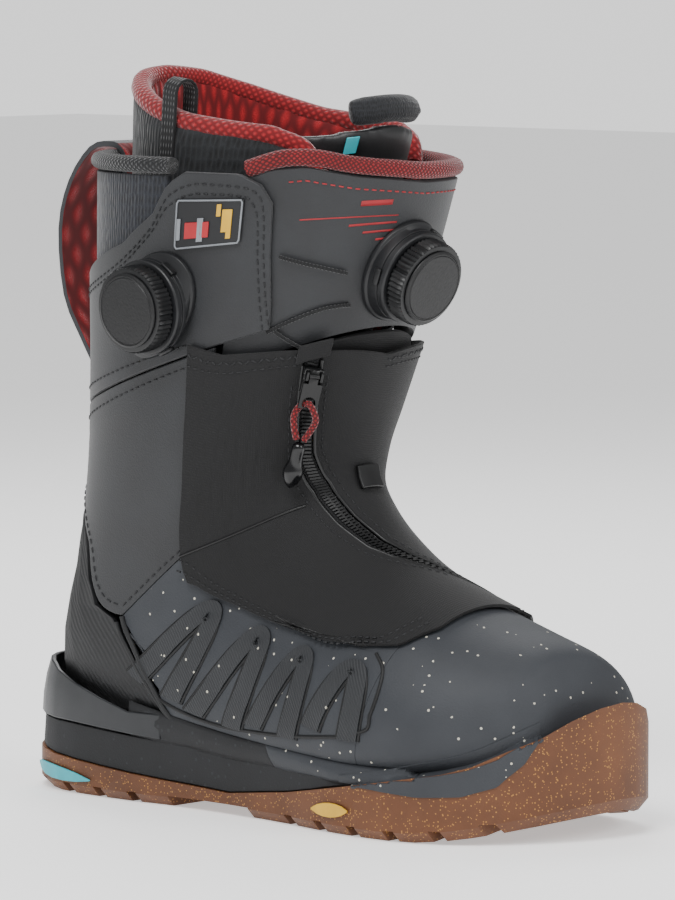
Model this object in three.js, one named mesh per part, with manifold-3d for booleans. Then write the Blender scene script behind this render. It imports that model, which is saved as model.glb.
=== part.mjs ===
// Snowboard boot, right foot. Millimetres, +X to the toe, +Y to the medial side, +Z up.
// The upper is one curved form, a "last" lofted from toe tip to cuff. Every panel is a slab
// that follows it, set in from or out from the last by a named layer.
import * as THREE from 'three';
import { mergeVertices } from 'three/addons/utils/BufferGeometryUtils.js';
import Module from 'manifold-3d';

const wasm = await Module();
wasm.setup();

// ---- driving dimensions -------------------------------------------------------------
const GAP = 0.35;                 // clearance between neighbouring pieces
const SHELL_WALL = 2.4;           // synthetic leather and rubber panels
const GAITER_WALL = 1.4;          // softshell cover over the laces
const LINER_WALL = 7.5;           // foam liner wall
const TONGUE_WALL = 5;            // liner tongue
const LINER_ROOM = 5;             // space between shell and liner at the foot
const LINER_ROOM_TOP = 12;        // the same at the collar
const DIAL_SIZE = 36;             // grip diameter of a lace dial
const DIAL_RISE = 19;             // height of a dial's face above its panel
const LACE = 1.6;                 // lace diameter
const CORD = 2.8;                 // zip pull cord diameter
const ZIP_WIDTH = 6;              // width of the closed zip chain
const BINDING_REAR = 7;           // roll diameter of the collar rope
const BINDING_FRONT = 6.4;        // roll diameter of the front panel binding
const STRAP_WIDTH = 30;           // rear pull strap
const STRAP_THICK = 2.6;
const STRAP_BOW = 23;             // how far the strap stands off the cuff
const LOOP_WIDTH = 9;             // liner pull loop webbing
const TREAD_DEPTH = 4.5;          // depth of the grooves between the lugs
const FOXING = 3.2;               // thickness of the outsole's side wall

// The last: one row per station from the toe tip to the collar. front and back are the
// ends of the section in side view [x, z], half its half width, shift its offset in y,
// wide where along it is widest, and two exponents that square up the front and the back.
const STATIONS = [
  { front: [132, 46], back: [132, 38], half: 6, shift: 12, wide: 0.5, top: 2, sole: 2 },
  { front: [130.5, 57], back: [131, 30], half: 26, shift: 11, wide: 0.55, top: 2.2, sole: 2.6 },
  { front: [126.5, 67], back: [126, 27], half: 36, shift: 9, wide: 0.6, top: 2.1, sole: 3 },
  { front: [121, 75], back: [114, 25], half: 44, shift: 6, wide: 0.66, top: 2, sole: 3.6 },
  { front: [101, 82.5], back: [90, 23.5], half: 53, shift: 2, wide: 0.7, top: 2, sole: 4 },
  { front: [74, 93], back: [57, 23], half: 56, shift: -1, wide: 0.72, top: 1.95, sole: 4 },
  { front: [51, 103], back: [20, 24], half: 53, shift: -1, wide: 0.72, top: 1.9, sole: 4 },
  { front: [34, 115], back: [-18, 25.5], half: 48.5, shift: 0, wide: 0.72, top: 1.95, sole: 4 },
  { front: [22, 128], back: [-60, 28], half: 46.5, shift: 0, wide: 0.68, top: 2, sole: 3.8 },
  { front: [15.5, 142], back: [-106, 31], half: 45.5, shift: 0, wide: 0.6, top: 2.05, sole: 3.4 },
  { front: [18, 160], back: [-136, 44], half: 47.5, shift: 0, wide: 0.52, top: 2.1, sole: 2.8 },
  { front: [23, 176], back: [-128, 90], half: 52, shift: 0, wide: 0.5, top: 2.1, sole: 2.3 },
  { front: [31, 196], back: [-121, 132], half: 55, shift: 0, wide: 0.5, top: 2.1, sole: 2.2 },
  { front: [40, 218], back: [-118, 176], half: 58, shift: 0, wide: 0.5, top: 2.1, sole: 2.2 },
  { front: [48, 241], back: [-117, 220], half: 61, shift: 0, wide: 0.5, top: 2.1, sole: 2.2 },
  { front: [56, 264], back: [-116, 266], half: 63, shift: 0, wide: 0.5, top: 2.1, sole: 2.2 },
  { front: [64, 285], back: [-115, 310], half: 64, shift: 0, wide: 0.5, top: 2.1, sole: 2.2 },
];

// Layers of the upper, as distances out from the last.
const INNER = -SHELL_WALL - GAP - SHELL_WALL;   // inner face of the front panel layer
const UNDER = -SHELL_WALL - GAP;                // outer face of the front panel layer
const COVER = 1.1;                              // inner face of the gaiter layer

// Design lines on the last, as [station, degrees] pairs. 0 degrees is the front, 90 the
// lateral side, 180 the back or the sole.
const ZIP_LINE = [[5.2, -26], [5.8, -8], [6.4, 7], [6.9, 14], [7.8, 19], [8.9, 23], [9.8, 30],
  [10.8, 32], [11.7, 34], [12.9, 36]];
const GAITER_HEM = [[4.6, 0], [4.6, 30], [4.85, 46], [5.3, 52], [5.8, 58], [6.7, 61], [8, 67],
  [8.9, 73], [9.3, 78]];
const GAITER_TOP = [[11.75, 0], [12, 25], [12.25, 45], [12.5, 68], [12.8, 81]];
const GAITER_EDGE = [[8.9, 75], [10.6, 77], [11.5, 79], [12.8, 81]];
const CUFF_TOP = [[14.5, 56], [14.85, 61], [15, 68], [15, 86], [14.85, 91], [14.5, 96],
  [14.2, 109], [13.95, 144], [13.9, 180]];
const CUFF_EDGE = [[12.2, 52], [13.1, 54], [13.8, 56], [15, 58]];
const COUNTER_EDGE = [[9.6, 96], [10.3, 109], [11, 124], [11.6, 142], [12, 160], [12.4, 177]];
const SKIRT_EDGE = [[9.6, 96], [8.85, 97], [8.3, 106], [7.9, 126]];
const CUFF_SEAM = 12.65;          // station of the seam between cuff and quarter
const LOWER_SEAM = 9.6;           // station of the seam between quarter and rubber lower
const FRONT_TOP = [[15, -90], [14.86, -40], [14.82, 0], [14.95, 30], [15.1, 48], [15.05, 60], [14.85, 70]];
const COLLAR = 14.93;             // station of the rear collar's top edge
const FOOT_END = 8.8;             // station under the heel where the flat of the sole ends

// ---- colours and finishes -----------------------------------------------------------
const finish = (color, roughness, metalness = 0) =>
  new THREE.MeshStandardMaterial({ color, roughness, metalness });
const GREY_LEATHER = finish('#3c3e42', 0.7);
const GREY_RUBBER = finish('#4a4c50', 0.65);
const DARK_RUBBER = finish('#2e2f32', 0.7);
const GUM_RUBBER = finish('#7d5233', 0.75);
const BLACK_CLOTH = finish('#151518', 0.9);
const BLACK_MESH = finish('#1b1c20', 0.95);
const NAVY_MESH = finish('#23262f', 0.95);
const ROPE_KNIT = finish('#2b2c30', 0.95);
const RED_KNIT = finish('#b8262d', 0.9);
const BLACK_PLASTIC = finish('#1a1b1d', 0.4);
const GREY_PLASTIC = finish('#2f3034', 0.5);
const TURQUOISE = finish('#8fd3e0', 0.4);
const YELLOW = finish('#e0ac2c', 0.5);
const FOAM = finish('#26272a', 0.95);

const boot = new THREE.Group();

// ---- helpers ------------------------------------------------------------------------
const lerp = THREE.MathUtils.lerp;
const rad = THREE.MathUtils.degToRad;

function closed(geometry) {
  geometry.deleteAttribute('normal');
  geometry.deleteAttribute('uv');
  return mergeVertices(geometry, 1e-4);
}

function signedVolume(geometry) {
  const p = geometry.attributes.position;
  const i = geometry.index.array;
  const [a, b, c] = [new THREE.Vector3(), new THREE.Vector3(), new THREE.Vector3()];
  let sum = 0;
  for (let k = 0; k < i.length; k += 3) {
    a.fromBufferAttribute(p, i[k]);
    b.fromBufferAttribute(p, i[k + 1]);
    c.fromBufferAttribute(p, i[k + 2]);
    sum += a.dot(b.cross(c));
  }
  return sum / 6;
}

// Faces are turned to point outwards after a mapping that mirrors the shape.
function facingOut(geometry) {
  if (signedVolume(geometry) < 0) {
    const i = geometry.index.array;
    for (let k = 0; k < i.length; k += 3) [i[k], i[k + 1]] = [i[k + 1], i[k]];
  }
  geometry.computeVertexNormals();
  return geometry;
}

function mapped(geometry, place) {
  const shape = closed(geometry);
  const p = shape.attributes.position;
  const v = new THREE.Vector3();
  for (let i = 0; i < p.count; i += 1) {
    v.fromBufferAttribute(p, i);
    const w = place(v.x, v.y, v.z);
    p.setXYZ(i, w.x, w.y, w.z);
  }
  return facingOut(shape);
}

function solid(geometry) {
  const shape = closed(geometry.clone());
  return new wasm.Manifold(new wasm.Mesh({
    numProp: 3,
    vertProperties: new Float32Array(shape.attributes.position.array),
    triVerts: new Uint32Array(shape.index.array),
  }));
}

function fromSolid(manifold) {
  const mesh = manifold.getMesh();
  const geometry = new THREE.BufferGeometry();
  geometry.setAttribute('position', new THREE.BufferAttribute(mesh.vertProperties, 3));
  geometry.setIndex(new THREE.BufferAttribute(mesh.triVerts, 1));
  geometry.computeVertexNormals();
  return geometry;
}

const joined = (...parts) => fromSolid(parts.map(solid).reduce((a, b) => a.add(b)));
const cut = (body, ...tools) => fromSolid(tools.map(solid).reduce((a, b) => a.subtract(b), solid(body)));

function add(name, geometry, material, matrix) {
  const mesh = new THREE.Mesh(geometry, material);
  mesh.name = name;
  if (matrix) mesh.applyMatrix4(matrix);
  boot.add(mesh);
  return mesh;
}

// Straight-line lookup in a design line: value at column `to` where column `from` is x.
function along(line, x, from = 1, to = 0) {
  const rising = line[0][from] < line[line.length - 1][from];
  const rows = rising ? line : [...line].reverse();
  if (x <= rows[0][from]) return rows[0][to];
  for (let i = 1; i < rows.length; i += 1) {
    if (x <= rows[i][from]) {
      const f = (x - rows[i - 1][from]) / (rows[i][from] - rows[i - 1][from]);
      return lerp(rows[i - 1][to], rows[i][to], f);
    }
  }
  return rows[rows.length - 1][to];
}

// ---- the last -----------------------------------------------------------------------
function station(s) {
  const last = STATIONS.length - 1;
  const place = THREE.MathUtils.clamp(s, 0, last - 0.001);
  const i = Math.floor(place);
  const f = place - i;
  const row = (k) => STATIONS[THREE.MathUtils.clamp(k, 0, last)];
  const rows = [row(i - 1), row(i), row(i + 1), row(i + 2)];
  const spline = (read) => {
    const [a, b, c, d] = rows.map(read);
    return 0.5 * (2 * b + (c - a) * f + (2 * a - 5 * b + 4 * c - d) * f * f
      + (3 * b - a - 3 * c + d) * f ** 3);
  };
  return {
    front: [spline((r) => r.front[0]), spline((r) => r.front[1])],
    back: [spline((r) => r.back[0]), spline((r) => r.back[1])],
    half: spline((r) => r.half),
    shift: spline((r) => r.shift),
    wide: spline((r) => r.wide),
    top: spline((r) => r.top),
    sole: spline((r) => r.sole),
  };
}

function onLast(s, degrees) {
  const row = station(s);
  const c = Math.cos(rad(degrees));
  const n = Math.sin(rad(degrees));
  const power = 2 / (c >= 0 ? row.top : row.sole);
  const depth = c >= 0
    ? row.wide * (1 - Math.abs(c) ** power)
    : row.wide + (1 - row.wide) * Math.abs(c) ** power;
  const side = Math.sign(n) * Math.abs(n) ** power;
  return new THREE.Vector3(
    lerp(row.front[0], row.back[0], depth),
    row.shift - row.half * side,
    lerp(row.front[1], row.back[1], depth),
  );
}

function normal(s, degrees) {
  const ds = onLast(s + 0.02, degrees).sub(onLast(s - 0.02, degrees));
  const dt = onLast(s, degrees + 0.5).sub(onLast(s, degrees - 0.5));
  return ds.cross(dt).normalize();
}

const offLast = (s, degrees, out) => onLast(s, degrees).addScaledVector(normal(s, degrees), out);

// A slab on the last. where(u, v) gives [station, degrees], layer(u, v) gives [inner, outer].
function panel(columns, rows, where, layer) {
  const box = new THREE.BoxGeometry(1, 1, 1, columns, rows, 1);
  return mapped(box, (x, y, z) => {
    const [s, degrees] = where(x + 0.5, y + 0.5);
    const [inner, outer] = layer(x + 0.5, y + 0.5);
    return offLast(s, degrees, lerp(inner, outer, z + 0.5));
  });
}

const wall = (inner, outer) => () => [inner, outer];

// A round cord along points.
function cord(points, diameter, steps, sides = 8) {
  const section = new THREE.Shape().absarc(0, 0, diameter / 2, 0, 2 * Math.PI, false);
  const path = new THREE.CatmullRomCurve3(points);
  const options = { steps, bevelEnabled: false, extrudePath: path, curveSegments: sides / 2 };
  return facingOut(closed(new THREE.ExtrudeGeometry(section, options)));
}

// A frame standing on the last: x runs round the boot, y runs up it, z points out.
function standOn(s, degrees, out) {
  const z = normal(s, degrees);
  const up = offLast(s + 0.1, degrees, 0).sub(offLast(s - 0.1, degrees, 0));
  const x = up.clone().cross(z).normalize();
  const y = z.clone().cross(x);
  return new THREE.Matrix4().makeBasis(x, y, z).setPosition(offLast(s, degrees, out));
}

// ---- sole ---------------------------------------------------------------------------
// Plan of the sole, anticlockwise from the toe, as [x, y].
const PLAN = [[145, 13], [138, 38], [113, 57], [72, 59], [20, 46], [-40, 42], [-85, 44.5], [-124, 39],
  [-146, 21], [-152, 0], [-146, -22], [-124, -40], [-85, -45.5], [-40, -44], [10, -49], [50, -57],
  [85, -57.5], [115, -46], [137, -19]];
const SOLE_AT = [[-152, 18, 31], [-110, 15, 30.5], [-60, 11, 27.3], [-18, 9, 24.8], [20, 13.5, 23.3],
  [57, 20, 22.3], [90, 26, 22.6], [112, 30, 23.6], [134, 43, 25.5], [145, 55, 27]];
const FLAT_END = 85;              // the tread is flat on the ground behind here
const TOE_SPRING = 12;            // lift of the tread at the toe tip
const TOE_TIP = 145;
const plan = new THREE.CatmullRomCurve3(PLAN.map(([x, y]) => new THREE.Vector3(x, y, 0)), true);

const groundAt = (x) => TOE_SPRING * Math.max(0, (x - FLAT_END) / (TOE_TIP - FLAT_END)) ** 1.8;
const wallTopAt = (x) => along(SOLE_AT, x, 0, 1);
const midTopAt = (x) => along(SOLE_AT, x, 0, 2);

// A solid of plan rings. rings is a list of [share of the plan, height(x)], axis to axis.
function soleSolid(rings, segments, centre) {
  const profile = rings.map((ring, i) => new THREE.Vector2(i === 0 || i === rings.length - 1 ? 0 : 1, i));
  const lathe = new THREE.LatheGeometry(profile, segments);
  return mapped(lathe, (x, y, z) => {
    const [depth, height] = rings[Math.round(y)];
    const round = Math.hypot(x, z) > 0.5;
    const share = ((Math.atan2(z, x) / (2 * Math.PI)) + 1) % 1;
    const p = plan.getPoint(share);
    const edge = plan.getTangent(share);
    const inset = typeof depth === 'function' ? depth(p.x) : depth;
    const spot = round
      ? new THREE.Vector3(p.x - edge.y * inset, p.y + edge.x * inset, 0)
      : new THREE.Vector3(centre, 0, 0);
    spot.z = height(spot.x);
    return spot;
  });
}

const DISH = 22;                  // height of the midsole's dished middle
const TREAD_PLATE = 7;            // thickness of the outsole under the foot
const plateTop = (x) => groundAt(x) + TREAD_PLATE;

function outsole() {
  const body = soleSolid([
    [0, groundAt],
    [4, groundAt],
    [0, (x) => groundAt(x) + 4],
    [0, wallTopAt],
    [FOXING, (x) => wallTopAt(x)],
    [FOXING, plateTop],
    [0, plateTop],
  ], 48, -20);
  const grooves = [-132, -112, -92, -72, 22, 42, 62, 82, 102, 120].map((x) => {
    const slot = new THREE.BoxGeometry(5, 140, TREAD_DEPTH * 2);
    slot.translate(x, 0, groundAt(x));
    return slot;
  });
  const arch = new THREE.BoxGeometry(48, 140, TREAD_DEPTH * 2);
  arch.translate(-28, 0, 0);
  return cut(body, ...grooves, arch);
}

function midsole() {
  const inside = FOXING + 2 * GAP;
  const seat = (x) => plateTop(x) + GAP;
  const top = (x) => Math.max(midTopAt(x) - GAP, seat(x) + 3);
  const shoulder = (x) => Math.min(wallTopAt(x) + GAP, top(x) - 0.8);
  const flush = (x) => lerp(inside, 1, THREE.MathUtils.clamp((top(x) - wallTopAt(x) - 1.5) / 3, 0, 1));
  return soleSolid([
    [0, seat],
    [inside, seat],
    [inside, shoulder],
    [flush, shoulder],
    [(x) => flush(x) + 0.8, top],
    [14, (x) => Math.min(top(x), DISH)],
    [0, () => DISH],
  ], 48, -20);
}
add('outsole', outsole(), GUM_RUBBER);
add('midsole', midsole(), GREY_RUBBER);

// ---- rubber lower and heel ----------------------------------------------------------
const BOARD_EDGE = 136;           // where the lasting board meets the side walls, in degrees
const SKIRT = BOARD_EDGE - 1;
const TOE_END = 4.9;              // station where the closed toe cap ends in two wings
const mirror = (sign, degrees) => sign * degrees;

function lastingBoard() {
  return panel(6, 10, (u, v) => {
    const edge = BOARD_EDGE + 14 * Math.max(0, 3 * v - 2);
    return [lerp(TOE_END + 0.05, FOOT_END, v), lerp(edge, 360 - edge, u)];
  }, wall(-SHELL_WALL, 0));
}

// The toe cap closes round the toe tip: a dome of rings that share one end point.
function toeCap() {
  const rings = [0.02, 0.5, 1, 1.8, 2.8, 3.9, TOE_END];
  const profile = [new THREE.Vector2(0, 0)];
  rings.forEach((s, i) => profile.push(new THREE.Vector2(1, i + 1)));
  [...rings].reverse().slice(0, -1).forEach((s, i) => profile.push(new THREE.Vector2(1, 20 + i)));
  profile.push(new THREE.Vector2(0, 40));
  const tip = onLast(0, 90).add(onLast(0, 270)).multiplyScalar(0.5);
  return mapped(new THREE.LatheGeometry(profile, 24), (x, y, z) => {
    const k = Math.round(y);
    if (k === 0) return tip.clone().add(new THREE.Vector3(0.6, 0, 0));
    if (k === 40) return tip.clone().add(new THREE.Vector3(-SHELL_WALL, 0, 0));
    const degrees = THREE.MathUtils.radToDeg(Math.atan2(z, x));
    if (k < 20) return offLast(rings[k - 1], degrees, 0);
    return offLast(rings[rings.length - 1 - (k - 20)], degrees, -SHELL_WALL);
  });
}

const SKIVE = 0.9;                // the wing's top edge is thinned under the gaiter
// Rows of a wing, in degrees at its rear end, where two of them frame the skirt seam's corner.
const WING_ROWS = [SKIRT, 120, 106, 97.2, 95.9, 85, 74];
function rubberWing(sign) {
  const rows = WING_ROWS.length - 1;
  return panel(11, rows, (u, v) => {
    const row = WING_ROWS[Math.round(v * rows)];
    const s = lerp(TOE_END - 0.1, along(SKIRT_EDGE, row), u);
    const top = Math.max(along(GAITER_HEM, s, 0, 1) - 4, 44 + 5 * (s - TOE_END));
    return [s, mirror(sign, lerp(SKIRT, top, (SKIRT - row) / (SKIRT - WING_ROWS[rows])))];
  }, (u, v) => [-SHELL_WALL, v > 0.95 ? -SKIVE : 0]);
}

// The counter cups the heel. Its side edges follow the skirt seam, then rise to a point.
const CLIP_SEAT = 0.3;            // share of the counter's height that the clip covers
function heelCounter() {
  return panel(12, 9, (u, v) => {
    const s = v > CLIP_SEAT
      ? lerp(9.6, 12.2, (v - CLIP_SEAT) / (1 - CLIP_SEAT))
      : lerp(8, 9.6, v / CLIP_SEAT);
    const edge = s > 9.6 ? along(COUNTER_EDGE, s, 0, 1) + 0.8 : along(SKIRT_EDGE, s, 0, 1) + 1.2;
    const across = 1 - 2 * u;
    const middle = lerp(9.75, 12.3, v);
    return [lerp(middle, s, across ** 2), 180 - across * (180 - edge)];
  }, (u, v) => {
    const sunk = 1.6 * THREE.MathUtils.clamp((CLIP_SEAT + 0.1 - v) / 0.15, 0, 1);
    return [-SHELL_WALL - sunk, -sunk];
  });
}

// The clip wraps the heel from the edge of the midsole up onto the counter.
const CLIP_ENDS = [0.335, 0.665];   // shares of the sole plan
const CLIP_WALL = 2.4;
const CLIP_STEP = 0.4;            // how far the clip sits in from the edge of the outsole
function heelClip() {
  const box = new THREE.BoxGeometry(1, 1, 1, 16, 3, 1);
  return mapped(box, (x, y, z) => {
    const share = lerp(CLIP_ENDS[0], CLIP_ENDS[1], x + 0.5);
    const p = plan.getPoint(share);
    const edge = plan.getTangent(share);
    const rear = THREE.MathUtils.clamp((-100 - p.x) / 52, 0, 1);
    const top = lerp(38, 55, THREE.MathUtils.clamp((-75 - p.x) / 60, 0, 1));
    const lean = lerp(0, 5, rear) * (y + 0.5) ** 2;
    const inset = CLIP_STEP + lean + (0.5 - z) * lerp(CLIP_WALL / 2, CLIP_WALL, rear);
    const low = midTopAt(p.x) + GAP;
    return new THREE.Vector3(p.x - edge.y * inset, p.y + edge.x * inset, lerp(low, top, y + 0.5));
  });
}
add('lasting_board', lastingBoard(), FOAM);
add('rubber_lower', joined(toeCap(), rubberWing(1), rubberWing(-1)), GREY_RUBBER);
add('heel_counter', heelCounter(), DARK_RUBBER);
add('heel_clip', heelClip(), GREY_PLASTIC);

// ---- quarters, cuff, mesh and front panel -------------------------------------------
const SEAM = 0.04;                // half the width of a seam, in stations

function quarter(sign) {
  return panel(8, 6, (u, v) => {
    const s = lerp(LOWER_SEAM + SEAM, CUFF_SEAM - SEAM, v);
    const rear = s > 12.3 ? 179 : along(COUNTER_EDGE, s, 0, 1) - 1;
    return [s, mirror(sign, lerp(72, Math.min(rear, 179.4), u))];
  }, wall(-SHELL_WALL, 0));
}

function cuffLateral() {
  return panel(14, 7, (u, v) => {
    const degrees = lerp(57, 179.4, u);
    const s = lerp(CUFF_SEAM + SEAM, along(CUFF_TOP, degrees), v);
    return [s, lerp(along(CUFF_EDGE, s, 0, 1), 179.4, u)];
  }, wall(-SHELL_WALL, 0));
}

// The medial cuff runs on round the front and tucks under the lateral cuff.
const FRONT_UNDER = 70;           // how far the front panel reaches under the lateral cuff
function cuffMedial() {
  return panel(20, 6, (u, v) => {
    const degrees = lerp(-179.4, FRONT_UNDER, u);
    const rear = along(CUFF_TOP, Math.min(-degrees, 180));
    const top = degrees > -88 ? along(FRONT_TOP, degrees) : rear;
    const low = degrees < -62 ? CUFF_SEAM + SEAM : 12.2;
    return [lerp(low, top, v), degrees];
  }, (u) => {
    const under = THREE.MathUtils.smoothstep(lerp(-179.4, FRONT_UNDER, u), -88, -62);
    return [lerp(-SHELL_WALL, INNER, under), lerp(0, UNDER, under)];
  });
}

function meshGore() {
  return panel(16, 4, (u, v) => {
    const degrees = lerp(93, 267, u);
    const low = along(CUFF_TOP, degrees > 180 ? 360 - degrees : degrees) - 0.25;
    return [lerp(low, COLLAR, v), degrees];
  }, wall(INNER - GAP, UNDER - GAP));
}
add('quarter_lateral', quarter(1), GREY_LEATHER);
add('quarter_medial', quarter(-1), GREY_LEATHER);
add('cuff_lateral', cuffLateral(), GREY_LEATHER);
add('cuff_medial', cuffMedial(), GREY_LEATHER);
add('mesh_gore', meshGore(), NAVY_MESH);

const middleLayer = (INNER + UNDER) / 2;
const round = (from, to, count, at) => Array.from({ length: count }, (_, i) => at(lerp(from, to, i / (count - 1))));
// A roll sits on a panel's top edge, its middle half a diameter above it.
const onEdge = (s, degrees, diameter) => offLast(s, degrees, middleLayer)
  .add(new THREE.Vector3(0, 0, 2 * GAP + diameter / 2));
const collarRope = round(92, 268, 17, (a) => onEdge(COLLAR, a, BINDING_REAR));
add('collar_binding', cord(collarRope, BINDING_REAR, 24), ROPE_KNIT);
const frontRope = round(-84, 67, 15, (a) => onEdge(along(FRONT_TOP, a), a, BINDING_FRONT));
add('front_binding', cord(frontRope, BINDING_FRONT, 20), RED_KNIT);

// ---- inner tongue of the shell, gaiter and zip --------------------------------------
function instepTongue() {
  return panel(8, 12, (u, v) => [lerp(5.7, 12.1, v), lerp(-52, 52, u)], wall(INNER, UNDER));
}
add('instep_tongue', instepTongue(), BLACK_CLOTH);

const ZIP_HALF = ZIP_WIDTH / 2 + 1.2;   // from the zip's middle to the edge of the gaiter
const zipAt = (s) => along(ZIP_LINE, s, 0, 1);
const degreesFor = (s, width) => width / onLast(s, zipAt(s) + 1).distanceTo(onLast(s, zipAt(s)));

function gaiter(sign) {
  return panel(9, 13, (u, v) => {
    let s = 9;
    let degrees = 0;
    for (let turn = 0; turn < 12; turn += 1) {
      const near = zipAt(s) + sign * degreesFor(s, ZIP_HALF);
      degrees = lerp(near, sign * along(GAITER_EDGE, s, 0, 1), u);
      const goal = lerp(along(GAITER_HEM, Math.abs(degrees)), along(GAITER_TOP, Math.abs(degrees)), v);
      s = lerp(s, goal, 0.7);
    }
    return [s, degrees];
  }, wall(COVER, COVER + GAITER_WALL));
}
add('gaiter_lateral', gaiter(1), BLACK_CLOTH);
add('gaiter_medial', gaiter(-1), BLACK_CLOTH);

function zipChain() {
  return panel(1, 26, (u, v) => {
    const s = lerp(5.2, 11.95, v);
    return [s, zipAt(s) + (2 * u - 1) * degreesFor(s, ZIP_WIDTH / 2)];
  }, wall(COVER, COVER + GAITER_WALL));
}
add('zip_chain', zipChain(), BLACK_PLASTIC);


const OVER = COVER + GAITER_WALL; // outer face of the gaiter
function patchAt(s, degrees, height, width, inner, outer, rows = 2) {
  const tall = height / onLast(s + 0.5, degrees).distanceTo(onLast(s - 0.5, degrees));
  const wide = width / onLast(s, degrees + 1).distanceTo(onLast(s, degrees));
  return panel(3, rows, (u, v) => [s + (v - 0.5) * tall, degrees + (0.5 - u) * wide], wall(inner, outer));
}
add('zip_garage', patchAt(12.14, zipAt(12.14), 8, 14, OVER + GAP, OVER + 1.6), BLACK_PLASTIC);
add('gaiter_hook', patchAt(8.75, -1, 12, 12, OVER + GAP, OVER + 2.4), BLACK_PLASTIC);
add('side_badge', patchAt(14.36, 77, 15, 29, GAP, 1.5), GREY_PLASTIC);

// ---- zip slider and pull ------------------------------------------------------------
const SLIDER = { wide: 8, long: 11, tall: 2.6, ride: 0.9 };
const PIVOT = { y: 3, z: 4.1, radius: 1.1, long: 4.2 };
const EAR = { thick: 1.1, long: 4, tall: 2.9 };
const TAB = { wide: 8, long: 13, thick: 1.3, hole: 5.7 };
const SLEEVE = { long: 22, radius: 2.9, knot: 4.6, top: -25 };
const sliderFrame = standOn(11.6, zipAt(11.6), OVER + SLIDER.ride);

function blockAt(wide, long, tall, x, y, z) {
  const block = new THREE.BoxGeometry(wide, long, tall);
  block.translate(x, y, z);
  return block;
}

function zipSlider() {
  const earX = PIVOT.long / 2 + GAP + EAR.thick / 2;
  const ears = [-earX, earX].map((x) => blockAt(EAR.thick, EAR.long, EAR.tall, x, PIVOT.y, SLIDER.tall + EAR.tall / 2 - 0.1));
  return joined(blockAt(SLIDER.wide, SLIDER.long, SLIDER.tall, 0, 0, SLIDER.tall / 2), ...ears);
}

function zipTab() {
  const barrel = new THREE.CylinderGeometry(PIVOT.radius, PIVOT.radius, PIVOT.long, 12);
  barrel.rotateZ(Math.PI / 2);
  barrel.translate(0, PIVOT.y, PIVOT.z);
  const plate = blockAt(TAB.wide, TAB.long - 2, TAB.thick, 0, PIVOT.y - 2.2 - TAB.long / 2, PIVOT.z);
  const neck = blockAt(PIVOT.long - 0.4, 4, TAB.thick, 0, PIVOT.y - 1.8, PIVOT.z);
  const hole = new THREE.CylinderGeometry(TAB.hole / 2, TAB.hole / 2, 8, 12);
  hole.rotateX(Math.PI / 2);
  hole.translate(0, CORD_EYE[1], CORD_EYE[2]);
  return cut(joined(barrel, neck, plate), hole);
}

// The red cord threads the tab's eye and both ends meet in the sleeve.
const CORD_EYE = [0, PIVOT.y - TAB.long + 1.2, PIVOT.z];
const CORD_ROUTE = [[-1.5, SLEEVE.top, 4.2], [-3.4, -20, 3.4], [-4.1, -15.5, 2.2], [-2.4, -11.4, 1.6],
  [0, CORD_EYE[1] - 0.2, CORD_EYE[2]], [2.4, -11.4, 6.8], [4.1, -15.5, 6.4], [3.4, -20, 5.2],
  [1.5, SLEEVE.top, 4.6]];

function pullSleeve() {
  const at = [0, 0.08, 0.2, 0.45, 0.55, 0.65, 0.78, 0.86, 1];
  const size = [0, 1, 1, 1, 1.45, 1.58, 1.3, 0.95, 0];
  const profile = at.map((share, i) => new THREE.Vector2(size[i] * SLEEVE.radius, -share * SLEEVE.long));
  const sleeve = new THREE.LatheGeometry(profile, 12);
  sleeve.translate(0, SLEEVE.top - GAP, 5);
  return facingOut(closed(sleeve));
}
add('zip_slider', zipSlider(), BLACK_PLASTIC, sliderFrame);
add('zip_tab', zipTab(), BLACK_PLASTIC, sliderFrame);
add('pull_cord', cord(CORD_ROUTE.map((p) => new THREE.Vector3(...p)), CORD, 26), RED_KNIT, sliderFrame);
add('pull_sleeve', pullSleeve(), BLACK_PLASTIC, sliderFrame);

// ---- lace dials ---------------------------------------------------------------------
const GRIP = DIAL_SIZE / 2;
const FLANGE = 22;                // radius of the base where it is sewn to the panel
const BASE_TOP = 9;
const SPINDLE = 2.2;
const SPOOL = 10.9;
const FACE = DIAL_RISE - 1.8;     // top of the grip ring, under the cap
const PLATE = FACE - 2.5;         // underside of the grip's top plate

function turned(points, segments = 20) {
  const lathe = new THREE.LatheGeometry(points.map(([r, z]) => new THREE.Vector2(r, z)), segments);
  lathe.rotateX(Math.PI / 2);
  return facingOut(closed(lathe));
}

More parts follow.
